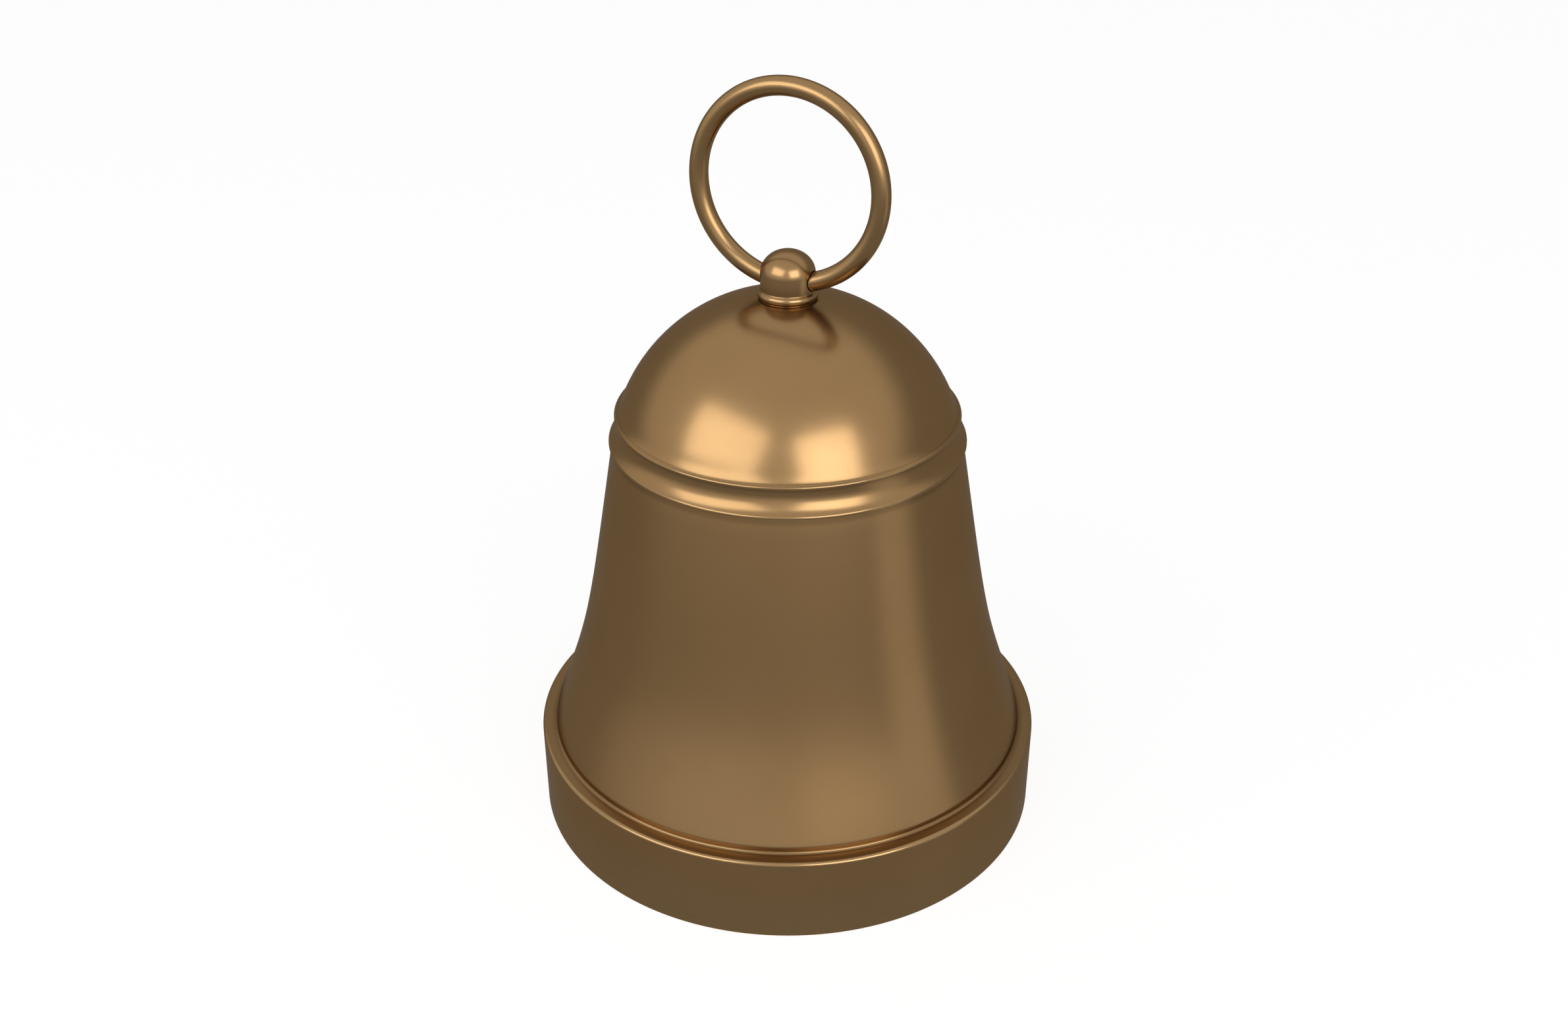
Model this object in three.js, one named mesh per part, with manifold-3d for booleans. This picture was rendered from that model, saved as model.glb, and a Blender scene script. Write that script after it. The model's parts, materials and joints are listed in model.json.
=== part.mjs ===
// A small church bell with its crown knob, hanging ring and clapper.
// Millimetres, +Z up. The origin is the centre of the mouth, on the plane that the lip stands on.
// At rest the ring stands upright in the XZ plane. The ring and the clapper swing about axes along X.

import * as THREE from "three";
import { mergeVertices } from "three/addons/utils/BufferGeometryUtils.js";
import Module from "manifold-3d";

const wasm = await Module();
wasm.setup();

const point = (radius, height) => new THREE.Vector2(radius, height);

// ---------------------------------------------------------------- driving dimensions

const GAP = 0.3; // between pieces that touch, and round a thread or a shank
const OVERRUN = 1; // how far a cutting or joining shape runs past the face that it meets

// Bell casting, outside. A point is (radius, height).
const MOUTH_RADIUS = 150;
const DRUM_HEIGHT = 50.2;
const DRUM_BEVEL = 1.7;
const FOOT_RADIUS = 141.4; // the short riser between the ledge and the waist
const LEDGE_FILLET = 0.6;
const WAIST_FOOT = point(139.8, 54.6);
const WAIST_BEND = point(119, 115.8);
const WAIST_TOP = point(98.7, 235.9);
const BRIM_EDGE_RADIUS = 100.9;
const BRIM_THICKNESS = 1.4;
const COLLAR_RADIUS = 95.6; // the narrowest place, between the two brims
const COLLAR_HEIGHT = 247.5;
const CAVETTO_RADIUS = 13.6; // the hollow moulding that sweeps down from the collar to the lower brim
const DOME_BRIM_EDGE_RADIUS = 97;
const DOME_BRIM_BOTTOM = 251.3;
const DOME_BRIM_THICKNESS = 1.2;
const DOME_RADIUS = 100.4;
const DOME_CENTRE = 219;
const DOME_FOOT_ANGLE = 23.2; // degrees above the horizontal, where the dome flares into its brim
const DOME_FLARE_RISE = 0.8; // how far above the brim the flare starts to climb
const CROWN_SEAT_RADIUS = 17.5; // flat spot that the knob stands on

// Bell casting, inside
const LIP_WIDTH = 12;
const WAIST_WALL = 8.8;
const DOME_WALL = 9;
const INNER_DOME_FOOT_ANGLE = 15;
const BOW_TOP = 0.18; // how far up the waist curve the sound bow has thinned to the waist's wall
const BOW_BELLY = point(127, 28);
const BOW_SHOULDER = point(127, 52);
const INNER_SEAT_RADIUS = 30;

// Knob: a turned head with a cross eye for the ring, and a shank through the crown
const SHANK_RADIUS = 8;
const KNOB_RADIUS = 15;
const KNOB_HEIGHT = 26.4;
const KNOB_DOME_HEIGHT = 12.8;
const KNOB_BEAD_RADIUS = 3.1;
const KNOB_BEAD_OUTER_RADIUS = 16.6;
const GASKET_RADIUS = 12; // it lies in a recess under the knob, out of sight
const GASKET_THICKNESS = 1;

// Ring
const RING_RADIUS = 52.4; // to the middle of the bar
const RING_BAR_RADIUS = 5.2;
const RING_CENTRE = 379.3;
const EYE_CLEARANCE = 0.4;

// Crown fastening, from the crown's inner face downwards
const PAD_RADIUS = 29;
const PAD_THICKNESS = 2.5;
const STRAP_THICKNESS = 6;
const STRAP_BREADTH = 26;
const STRAP_INNER_HALF_WIDTH = 18;
const CROWN_WASHER_RADIUS = 15;
const CROWN_WASHER_THICKNESS = 3;
const SPRING_WASHER_RADIUS = 13.5;
const SPRING_WASHER_THICKNESS = 3.5;
const SPRING_WASHER_CUT = 3;
const CROWN_NUT_ACROSS_FLATS = 24;
const CROWN_NUT_HEIGHT = 13;
const LOCK_NUT_HEIGHT = 8;
const SHANK_TAIL = 3; // thread left below the lock nut
const THREAD_CHAMFER = 1;
const HEX_CHAMFER = 0.48; // radius of a nut's chamfered face, as a share of the width across flats
const DOWEL_RADIUS = 2.5;
const DOWEL_OFFSET = 21; // from the bell's axis, along X
const DOWEL_REACH = 5; // into the crown, and into the strap

// Clapper pivot
const SHANK_TO_BOSS = 4; // from the knob's shank down to the clapper's boss
const PIVOT_RADIUS = 5;
const PIVOT_HEAD_ACROSS_FLATS = 16;
const PIVOT_HEAD_HEIGHT = 6.4;
const PIVOT_WASHER_RADIUS = 10;
const PIVOT_WASHER_THICKNESS = 2;
const PIVOT_TAIL = 2.5; // thread left past the castle nut
const THRUST_WASHER_RADIUS = 11;
const THRUST_WASHER_THICKNESS = 3;
const CASTLE_NUT_HEX_HEIGHT = 8;
const CASTLE_NUT_HEIGHT = 12;
const CASTLE_CROWN_RADIUS = 7;
const CASTLE_SLOT_WIDTH = 3.2;
const CASTLE_SLOT_FLOOR = 0.4; // above the hexagonal part
const SPLIT_PIN_HOLE_RADIUS = 1.5;
const SPLIT_PIN_WIRE_RADIUS = 0.55;
const SPLIT_PIN_EYE_RADIUS = 1.9;
const SPLIT_PIN_BENT_LENGTH = 4.2; // of each end, where it is bent aside
const BUSH_WALL = 2.7;

// Clapper
const BOSS_RADIUS = 14;
const BOSS_HALF_WIDTH = 13;
const NECK_RADIUS = 7;
const NECK_FLARE_LENGTH = 24; // from the boss down, where the neck widens into it
const SHAFT_FOOT_RADIUS = 9.5;
const SHAFT_FOOT_LENGTH = 22;
const SHAFT_FOOT_TAPER = 2.5;
const CLAPPER_STUD_RADIUS = 7;
const BALL_RADIUS = 28;
const BALL_CLEARANCE = 3.5; // from the ball down to the plane of the lip
const BALL_FLAT_RADIUS = 13;
const BALL_NUT_ACROSS_FLATS = 22;
const BALL_NUT_HEIGHT = 8;
const STUD_DEPTH = 22; // of the hole in the ball, below its flat
const STUD_END_ROOM = 2; // left under the stud in its hole

// Fineness of the round faces
const BELL_SIDES = 40;
const KNOB_SIDES = 28;
const SMALL_SIDES = 20;
const HOLE_SIDES = 12; // of the dowel's and the split pin's holes
const RING_STEPS = 44;
const RING_BAR_SIDES = 12;

// ---------------------------------------------------------------- levels that follow from them

const domeLevel = (sphereRadius, radius) => DOME_CENTRE + Math.sqrt(sphereRadius ** 2 - radius ** 2);

const CROWN_SEAT = domeLevel(DOME_RADIUS, CROWN_SEAT_RADIUS);
const INNER_DOME_RADIUS = DOME_RADIUS - DOME_WALL;
const INNER_SEAT = domeLevel(INNER_DOME_RADIUS, INNER_SEAT_RADIUS);
const CROWN_BORE_RADIUS = SHANK_RADIUS + GAP;

const GASKET_BOTTOM = CROWN_SEAT + GAP;
const KNOB_BASE = CROWN_SEAT + GAP;
const KNOB_RECESS_ROOF = GASKET_BOTTOM + GASKET_THICKNESS + GAP;
const EYE_LEVEL = RING_CENTRE - Math.sqrt(RING_RADIUS ** 2 - KNOB_RADIUS ** 2);

const PAD_BOTTOM = INNER_SEAT - GAP - PAD_THICKNESS;
const STRAP_TOP = PAD_BOTTOM - GAP;
const STRAP_UNDERSIDE = STRAP_TOP - STRAP_THICKNESS;
const CROWN_WASHER_BOTTOM = STRAP_UNDERSIDE - GAP - CROWN_WASHER_THICKNESS;
const SPRING_WASHER_BOTTOM = CROWN_WASHER_BOTTOM - GAP - SPRING_WASHER_THICKNESS;
const CROWN_NUT_BOTTOM = SPRING_WASHER_BOTTOM - GAP - CROWN_NUT_HEIGHT;
const LOCK_NUT_BOTTOM = CROWN_NUT_BOTTOM - GAP - LOCK_NUT_HEIGHT;
const SHANK_END = LOCK_NUT_BOTTOM - SHANK_TAIL;

const PIVOT_LEVEL = SHANK_END - SHANK_TO_BOSS - BOSS_RADIUS;
const STRAP_HALF_WIDTH = STRAP_INNER_HALF_WIDTH + STRAP_THICKNESS;
const THRUST_WASHER_START = STRAP_INNER_HALF_WIDTH - GAP - THRUST_WASHER_THICKNESS;
const BUSH_HALF_LENGTH = THRUST_WASHER_START - GAP;
const BUSH_RADIUS = PIVOT_RADIUS + GAP + BUSH_WALL;
const PIVOT_WASHER_START = STRAP_HALF_WIDTH + GAP;
const CASTLE_NUT_START = PIVOT_WASHER_START + PIVOT_WASHER_THICKNESS + GAP;
const PIVOT_END = CASTLE_NUT_START + CASTLE_NUT_HEIGHT + PIVOT_TAIL;
const SPLIT_PIN_PLACE = CASTLE_NUT_START + (CASTLE_NUT_HEX_HEIGHT + CASTLE_NUT_HEIGHT) / 2;

const BALL_CENTRE = BALL_CLEARANCE + BALL_RADIUS - PIVOT_LEVEL; // from the pivot
const BALL_TOP = BALL_CENTRE + Math.sqrt(BALL_RADIUS ** 2 - BALL_FLAT_RADIUS ** 2);
const BALL_NUT_BOTTOM = BALL_TOP + GAP;
const SHAFT_SHOULDER = BALL_NUT_BOTTOM + BALL_NUT_HEIGHT + SHANK_TAIL;

// ---------------------------------------------------------------- shape helpers

const degrees = THREE.MathUtils.degToRad;
const inDegrees = THREE.MathUtils.radToDeg;

// Points along a round stretch of an outline.
function arc(centre, radius, fromDegrees, toDegrees, steps) {
  const clockwise = toDegrees < fromDegrees;
  const curve = new THREE.EllipseCurve(
    centre.x, centre.y, radius, radius, degrees(fromDegrees), degrees(toDegrees), clockwise,
  );
  return curve.getPoints(steps);
}

// A solid turned about Z from an outline that goes up its outer side first.
function turned(outline, sides = SMALL_SIDES) {
  return new THREE.LatheGeometry(outline, sides).rotateX(Math.PI / 2);
}

// A flat round disc or, with an inner radius, a flat ring.
function disc(radius, bottom, thickness, innerRadius = 0, sides = SMALL_SIDES) {
  const outline = [
    point(innerRadius, bottom),
    point(radius, bottom),
    point(radius, bottom + thickness),
    point(innerRadius, bottom + thickness),
  ];
  if (innerRadius > 0) outline.push(outline[0].clone());
  return turned(outline, sides);
}

// The same disc lying along X from a start to an end.
function discAlongX(radius, start, length, innerRadius = 0, sides = SMALL_SIDES) {
  return disc(radius, start, length, innerRadius, sides).rotateY(Math.PI / 2);
}

// A flat shape drawn in (Y, Z) and extruded along X, centred on the YZ plane.
function extrudedAlongX(shape, length) {
  const options = { depth: length, bevelEnabled: false, curveSegments: 10 };
  const geometry = new THREE.ExtrudeGeometry(shape, options);
  const axes = new THREE.Matrix4().makeBasis(
    new THREE.Vector3(0, 1, 0), new THREE.Vector3(0, 0, 1), new THREE.Vector3(1, 0, 0),
  );
  return geometry.translate(0, 0, -length / 2).applyMatrix4(axes);
}

// A flat shape drawn in (X, Z) and extruded along Y, centred on the XZ plane.
function extrudedAlongY(shape, length) {
  const options = { depth: length, bevelEnabled: false, curveSegments: 4 };
  const geometry = new THREE.ExtrudeGeometry(shape, options);
  return geometry.translate(0, 0, -length / 2).rotateX(Math.PI / 2);
}

// A closed surface as a solid that can be cut and joined, and back again.
function solid(geometry) {
  const bare = geometry.clone();
  bare.deleteAttribute("normal");
  bare.deleteAttribute("uv");
  const merged = mergeVertices(bare, 1e-4);
  return new wasm.Manifold(
    new wasm.Mesh({
      numProp: 3,
      vertProperties: merged.getAttribute("position").array,
      triVerts: new Uint32Array(merged.index.array),
    }),
  );
}

function surface(manifold) {
  const { numProp, vertProperties, triVerts } = manifold.getMesh();
  const geometry = new THREE.BufferGeometry();
  geometry.setAttribute("position", new THREE.BufferAttribute(vertProperties, numProp));
  geometry.setIndex(new THREE.BufferAttribute(triVerts, 1));
  geometry.computeVertexNormals();
  return geometry;
}

// A hexagonal head or nut, with both faces chamfered and a bore where one is asked for.
function hexagon(acrossFlats, bottom, height, boreRadius = 0) {
  const cornerRadius = acrossFlats / Math.sqrt(3);
  const chamferRadius = acrossFlats * HEX_CHAMFER;
  const chamferHeight = (cornerRadius - chamferRadius) * Math.tan(degrees(30));
  const outside = cornerRadius + 0.01;
  const prism = new THREE.CylinderGeometry(cornerRadius, cornerRadius, height, 6).rotateX(Math.PI / 2);
  prism.translate(0, 0, bottom + height / 2);
  const envelope = turned([
    point(0, bottom),
    point(chamferRadius, bottom),
    point(outside, bottom + chamferHeight),
    point(outside, bottom + height - chamferHeight),
    point(chamferRadius, bottom + height),
    point(0, bottom + height),
  ]);
  const body = solid(prism).intersect(solid(envelope));
  if (!boreRadius) return body;
  return body.subtract(solid(disc(boreRadius, bottom - OVERRUN, height + 2 * OVERRUN)));
}

// ---------------------------------------------------------------- bell casting

const waistCurve = new THREE.CubicBezierCurve(WAIST_FOOT, WAIST_BEND, WAIST_BEND, WAIST_TOP);

// A point of the waist curve moved inwards by the wall's thickness.
function innerWaistPoint(along) {
  const place = waistCurve.getPoint(along);
  const tangent = waistCurve.getTangent(along);
  return point(place.x - tangent.y * WAIST_WALL, place.y + tangent.x * WAIST_WALL);
}

// The thin rounded edge of a brim whose underside is level.
function brimEdge(edgeRadius, bottom, thickness) {
  const half = thickness / 2;
  return arc(point(edgeRadius - half, bottom + half), half, -90, 90, 2);
}

function drumAndLedge() {
  const footRound = FOOT_RADIUS - WAIST_FOOT.x;
  return [
    point(MOUTH_RADIUS, 0),
    point(MOUTH_RADIUS, DRUM_HEIGHT - DRUM_BEVEL),
    point(MOUTH_RADIUS - DRUM_BEVEL, DRUM_HEIGHT),
    ...arc(point(FOOT_RADIUS + LEDGE_FILLET, DRUM_HEIGHT + LEDGE_FILLET), LEDGE_FILLET, 270, 180, 2),
    ...arc(point(WAIST_FOOT.x, WAIST_FOOT.y - footRound), footRound, 0, 60, 2),
  ];
}

// The hollow moulding, from its lowest point on the brim up to the collar, where it is upright.
function cavetto() {
  const centre = point(COLLAR_RADIUS + CAVETTO_RADIUS, COLLAR_HEIGHT);
  const brimTop = WAIST_TOP.y + BRIM_THICKNESS;
  const lowestAngle = 180 + inDegrees(Math.asin((COLLAR_HEIGHT - brimTop) / CAVETTO_RADIUS));
  return arc(centre, CAVETTO_RADIUS, lowestAngle, 180, 4);
}

function domeOutside() {
  const foot = degrees(DOME_FOOT_ANGLE);
  const brimTop = point(
    DOME_BRIM_EDGE_RADIUS - DOME_BRIM_THICKNESS / 2, DOME_BRIM_BOTTOM + DOME_BRIM_THICKNESS,
  );
  const domeFoot = point(DOME_RADIUS * Math.cos(foot), DOME_CENTRE + DOME_RADIUS * Math.sin(foot));
  const flareLevel = brimTop.y + DOME_FLARE_RISE;
  const flareBend = point(domeFoot.x + (domeFoot.y - flareLevel) * Math.tan(foot), flareLevel);
  const flare = new THREE.QuadraticBezierCurve(brimTop, flareBend, domeFoot).getPoints(3);
  const seatAngle = inDegrees(Math.acos(CROWN_SEAT_RADIUS / DOME_RADIUS));
  const cap = arc(point(0, DOME_CENTRE), DOME_RADIUS, DOME_FOOT_ANGLE, seatAngle, 9);
  return [...flare.slice(1, -1), ...cap];
}

function bellInside() {
  const topAngle = inDegrees(Math.acos(INNER_SEAT_RADIUS / INNER_DOME_RADIUS));
  const bowTop = innerWaistPoint(BOW_TOP);
  const bow = new THREE.CubicBezierCurve(
    bowTop, BOW_SHOULDER, BOW_BELLY, point(MOUTH_RADIUS - LIP_WIDTH, 0),
  );
  const waistSteps = 5;
  const waist = [];
  for (let step = waistSteps; step > 0; step--) {
    waist.push(innerWaistPoint(BOW_TOP + ((1 - BOW_TOP) * step) / waistSteps));
  }
  return [
    ...arc(point(0, DOME_CENTRE), INNER_DOME_RADIUS, topAngle, INNER_DOME_FOOT_ANGLE, 5),
    ...waist,
    ...bow.getPoints(6),
  ];
}

function bellCasting() {
  const outline = [
    ...drumAndLedge(),
    ...waistCurve.getPoints(7),
    ...brimEdge(BRIM_EDGE_RADIUS, WAIST_TOP.y, BRIM_THICKNESS),
    ...cavetto(),
    ...brimEdge(DOME_BRIM_EDGE_RADIUS, DOME_BRIM_BOTTOM, DOME_BRIM_THICKNESS),
    ...domeOutside(),
    point(CROWN_BORE_RADIUS, CROWN_SEAT),
    point(CROWN_BORE_RADIUS, INNER_SEAT),
    ...bellInside(),
    point(MOUTH_RADIUS, 0),
  ];
  const dowelHole = dowelHoleCutter(INNER_SEAT - OVERRUN, INNER_SEAT + DOWEL_REACH + 2 * GAP);
  return surface(solid(turned(outline, BELL_SIDES)).subtract(solid(dowelHole)));
}

// ---------------------------------------------------------------- knob and ring

// The cross eye is wide in its middle and close at its two mouths, so the curved bar can roll over in it.
function eyeCutter() {
  const reach = KNOB_RADIUS + 3 * OVERRUN;
  const mouthTilt = Math.asin(KNOB_RADIUS / RING_RADIUS);
  const mouthRadius = RING_BAR_RADIUS / Math.cos(mouthTilt) + EYE_CLEARANCE;
  const mouthDrop = Math.sqrt(RING_RADIUS ** 2 - KNOB_RADIUS ** 2);
  const steps = 6;
  const outline = [point(0, -reach), point(mouthRadius, -reach)];
  for (let step = 0; step <= steps; step++) {
    const across = KNOB_RADIUS * ((2 * step) / steps - 1);
    const barDrop = Math.sqrt(RING_RADIUS ** 2 - across ** 2) - mouthDrop;
    outline.push(point(mouthRadius + barDrop, across));
  }
  outline.push(point(mouthRadius, reach), point(0, reach));
  return turned(outline).rotateY(Math.PI / 2).translate(0, 0, EYE_LEVEL);
}

function knob() {
  const beadCentre = point(KNOB_BEAD_OUTER_RADIUS - KNOB_BEAD_RADIUS, KNOB_BASE + KNOB_BEAD_RADIUS);
  const beadTopAngle = inDegrees(Math.acos((KNOB_RADIUS - beadCentre.x) / KNOB_BEAD_RADIUS));
  const domeFoot = KNOB_BASE + KNOB_HEIGHT - KNOB_DOME_HEIGHT;
  const head = new THREE.EllipseCurve(0, domeFoot, KNOB_RADIUS, KNOB_DOME_HEIGHT, 0, Math.PI / 2);
  const outline = [
    point(0, SHANK_END),
    point(SHANK_RADIUS - THREAD_CHAMFER, SHANK_END),
    point(SHANK_RADIUS, SHANK_END + THREAD_CHAMFER),
    point(SHANK_RADIUS, KNOB_RECESS_ROOF),
    point(GASKET_RADIUS + GAP, KNOB_RECESS_ROOF),
    point(GASKET_RADIUS + GAP, KNOB_BASE),
    ...arc(beadCentre, KNOB_BEAD_RADIUS, -90, beadTopAngle, 5),
    ...head.getPoints(6),
  ];
  outline[outline.length - 1].x = 0;
  return surface(solid(turned(outline, KNOB_SIDES)).subtract(solid(eyeCutter())));
}

function knobGasket() {
  return disc(GASKET_RADIUS, GASKET_BOTTOM, GASKET_THICKNESS, CROWN_BORE_RADIUS, KNOB_SIDES);
}

function suspensionRing() {
  return new THREE.TorusGeometry(RING_RADIUS, RING_BAR_RADIUS, RING_BAR_SIDES, RING_STEPS);
}

// ---------------------------------------------------------------- crown fastening

function crownPad() {
  const pad = disc(PAD_RADIUS, PAD_BOTTOM, PAD_THICKNESS, CROWN_BORE_RADIUS, KNOB_SIDES);
  const dowelHole = dowelHoleCutter(PAD_BOTTOM - OVERRUN, PAD_BOTTOM + PAD_THICKNESS + OVERRUN);
  return surface(solid(pad).subtract(solid(dowelHole)));
}

function dowelHoleCutter(bottom, top) {
  return disc(DOWEL_RADIUS + GAP, bottom, top - bottom, 0, HOLE_SIDES).translate(DOWEL_OFFSET, 0, 0);
}

function dowel() {
  const bottom = STRAP_TOP - DOWEL_REACH + GAP;
  const top = INNER_SEAT + DOWEL_REACH;
  return disc(DOWEL_RADIUS, bottom, top - bottom, 0, HOLE_SIDES).translate(DOWEL_OFFSET, 0, 0);
}

// A strap bent to a U, seen along Y: its plate lies under the crown and its two legs hang down.
function strapShape() {
  const outer = STRAP_HALF_WIDTH;
  const inner = STRAP_INNER_HALF_WIDTH;
  const bottom = PIVOT_LEVEL - STRAP_BREADTH / 2 - OVERRUN;
  const outerBend = 7;
  const innerBend = 2;
  const shape = new THREE.Shape();
  shape.moveTo(-outer, bottom);
  shape.lineTo(-inner, bottom);
  shape.lineTo(-inner, STRAP_UNDERSIDE - innerBend);
  shape.absarc(-inner + innerBend, STRAP_UNDERSIDE - innerBend, innerBend, Math.PI, Math.PI / 2, true);
  shape.lineTo(inner - innerBend, STRAP_UNDERSIDE);
  shape.absarc(inner - innerBend, STRAP_UNDERSIDE - innerBend, innerBend, Math.PI / 2, 0, true);
  shape.lineTo(inner, bottom);
  shape.lineTo(outer, bottom);
  shape.lineTo(outer, STRAP_TOP - outerBend);
  shape.absarc(outer - outerBend, STRAP_TOP - outerBend, outerBend, 0, Math.PI / 2, false);
  shape.lineTo(-outer + outerBend, STRAP_TOP);
  shape.absarc(-outer + outerBend, STRAP_TOP - outerBend, outerBend, Math.PI / 2, Math.PI, false);
  shape.closePath();
  return shape;
}

// The strap's breadth, seen along X, with round ends about the pivot.
function legShape() {
  const half = STRAP_BREADTH / 2;
  const shape = new THREE.Shape();
  shape.absarc(0, PIVOT_LEVEL, half, Math.PI, 2 * Math.PI, false);
  shape.lineTo(half, STRAP_TOP + OVERRUN);
  shape.lineTo(-half, STRAP_TOP + OVERRUN);
  shape.closePath();
  return shape;
}

function staple() {
  const overWidth = STRAP_HALF_WIDTH + OVERRUN;
  const shankHole = disc(CROWN_BORE_RADIUS, STRAP_UNDERSIDE - OVERRUN, STRAP_THICKNESS + 2 * OVERRUN);
  const pivotHole = discAlongX(PIVOT_RADIUS + GAP, -overWidth, 2 * overWidth);
  pivotHole.translate(0, 0, PIVOT_LEVEL);
  const dowelHole = dowelHoleCutter(STRAP_TOP - DOWEL_REACH, STRAP_TOP + OVERRUN);
  const body = solid(extrudedAlongY(strapShape(), STRAP_BREADTH))
    .intersect(solid(extrudedAlongX(legShape(), 2 * overWidth)))
    .subtract(solid(shankHole))
    .subtract(solid(pivotHole))
    .subtract(solid(dowelHole));
  return surface(body);
}

function crownWasher() {
  return disc(CROWN_WASHER_RADIUS, CROWN_WASHER_BOTTOM, CROWN_WASHER_THICKNESS, CROWN_BORE_RADIUS);
}

// A flat ring with a narrow cut through one side.
function springWasher() {
  const ring = disc(SPRING_WASHER_RADIUS, SPRING_WASHER_BOTTOM, SPRING_WASHER_THICKNESS, CROWN_BORE_RADIUS);
  const overThickness = SPRING_WASHER_THICKNESS + 2 * OVERRUN;
  const cut = new THREE.BoxGeometry(SPRING_WASHER_CUT, SPRING_WASHER_RADIUS, overThickness);
  cut.translate(0, SPRING_WASHER_RADIUS, SPRING_WASHER_BOTTOM + SPRING_WASHER_THICKNESS / 2);
  return surface(solid(ring).subtract(solid(cut)));
}

function crownNut() {
  return surface(hexagon(CROWN_NUT_ACROSS_FLATS, CROWN_NUT_BOTTOM, CROWN_NUT_HEIGHT, CROWN_BORE_RADIUS));
}

function crownLockNut() {
  return surface(hexagon(CROWN_NUT_ACROSS_FLATS, LOCK_NUT_BOTTOM, LOCK_NUT_HEIGHT, CROWN_BORE_RADIUS));
}

// ---------------------------------------------------------------- clapper pivot, about the pivot's centre

// The bolt points along +X, with its head on the -X side and a cross hole for the split pin near its end.
function pivotBolt() {
  const headTop = -STRAP_HALF_WIDTH - GAP;
  const head = hexagon(PIVOT_HEAD_ACROSS_FLATS, headTop - PIVOT_HEAD_HEIGHT, PIVOT_HEAD_HEIGHT);
  const shank = turned([
    point(0, headTop - OVERRUN),
    point(PIVOT_RADIUS, headTop - OVERRUN),
    point(PIVOT_RADIUS, PIVOT_END - THREAD_CHAMFER),
    point(PIVOT_RADIUS - THREAD_CHAMFER, PIVOT_END),
    point(0, PIVOT_END),
  ]);
  const overRadius = PIVOT_RADIUS + OVERRUN;
  const pinHole = disc(SPLIT_PIN_HOLE_RADIUS, -overRadius, 2 * overRadius, 0, HOLE_SIDES);
  pinHole.rotateY(Math.PI / 2).translate(0, 0, SPLIT_PIN_PLACE);
  return surface(head.add(solid(shank)).subtract(solid(pinHole))).rotateY(Math.PI / 2);
}

function thrustWasher() {
  const boreRadius = PIVOT_RADIUS + GAP;
  return discAlongX(THRUST_WASHER_RADIUS, -THRUST_WASHER_THICKNESS / 2, THRUST_WASHER_THICKNESS, boreRadius);
}

function pivotNutWasher() {
  return discAlongX(PIVOT_WASHER_RADIUS, PIVOT_WASHER_START, PIVOT_WASHER_THICKNESS, PIVOT_RADIUS + GAP);
}

// A hexagonal nut with a narrower round crown, cut by three slots across it.
function castleNut() {
  const hex = hexagon(PIVOT_HEAD_ACROSS_FLATS, CASTLE_NUT_START, CASTLE_NUT_HEX_HEIGHT);
  const crownDepth = CASTLE_NUT_HEIGHT - CASTLE_NUT_HEX_HEIGHT;
  const slotLevel = CASTLE_NUT_START + CASTLE_NUT_HEX_HEIGHT + CASTLE_SLOT_FLOOR + crownDepth / 2;
  const crown = disc(CASTLE_CROWN_RADIUS, CASTLE_NUT_START + OVERRUN, CASTLE_NUT_HEIGHT - OVERRUN);
  let nut = hex.add(solid(crown));
  for (const turn of [0, 60, 120]) {
    const slot = new THREE.BoxGeometry(CASTLE_SLOT_WIDTH, 4 * CASTLE_CROWN_RADIUS, crownDepth);
    slot.rotateZ(degrees(turn + 90)).translate(0, 0, slotLevel);
    nut = nut.subtract(solid(slot));
  }
  const bore = disc(PIVOT_RADIUS + GAP, CASTLE_NUT_START - OVERRUN, CASTLE_NUT_HEIGHT + 2 * OVERRUN);
  nut = nut.subtract(solid(bore));
  return surface(nut).rotateY(Math.PI / 2);
}

// One wire: down a leg, round the eye at the top and down the other leg, with both ends bent apart.
function splitPin() {
  const leg = SPLIT_PIN_WIRE_RADIUS + 0.1;
  const bendLevel = -CASTLE_CROWN_RADIUS - 1.6;
  const neckLevel = CASTLE_CROWN_RADIUS + 1;
  const eyeCentre = neckLevel + 2.4;
  const half = [
    [leg + SPLIT_PIN_BENT_LENGTH, bendLevel - 0.9],
    [leg + SPLIT_PIN_BENT_LENGTH / 3, bendLevel - 0.7],
    [leg + 0.1, bendLevel],
    [leg, bendLevel + 1.5],
    [leg, 0],
    [leg, neckLevel - 1],
    [leg + 0.2, neckLevel],
    [SPLIT_PIN_EYE_RADIUS, eyeCentre],
  ];
  const otherHalf = half.map(([across, level]) => [-across, level]).reverse();
  const wirePoints = [...half, [0, eyeCentre + SPLIT_PIN_EYE_RADIUS], ...otherHalf];
  const path = new THREE.CatmullRomCurve3(
    wirePoints.map(([across, level]) => new THREE.Vector3(across, 0, level)), false, "centripetal",
  );
  const section = new THREE.Shape().absarc(0, 0, SPLIT_PIN_WIRE_RADIUS, 0, 2 * Math.PI, false);
  const wire = new THREE.ExtrudeGeometry(section, { steps: 34, curveSegments: 3, extrudePath: path });
  return wire.translate(SPLIT_PIN_PLACE, 0, 0);
}

// ---------------------------------------------------------------- clapper, about the pivot's centre

function clapperBush() {
  return discAlongX(BUSH_RADIUS, -BUSH_HALF_LENGTH, 2 * BUSH_HALF_LENGTH, PIVOT_RADIUS + GAP);
}

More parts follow.
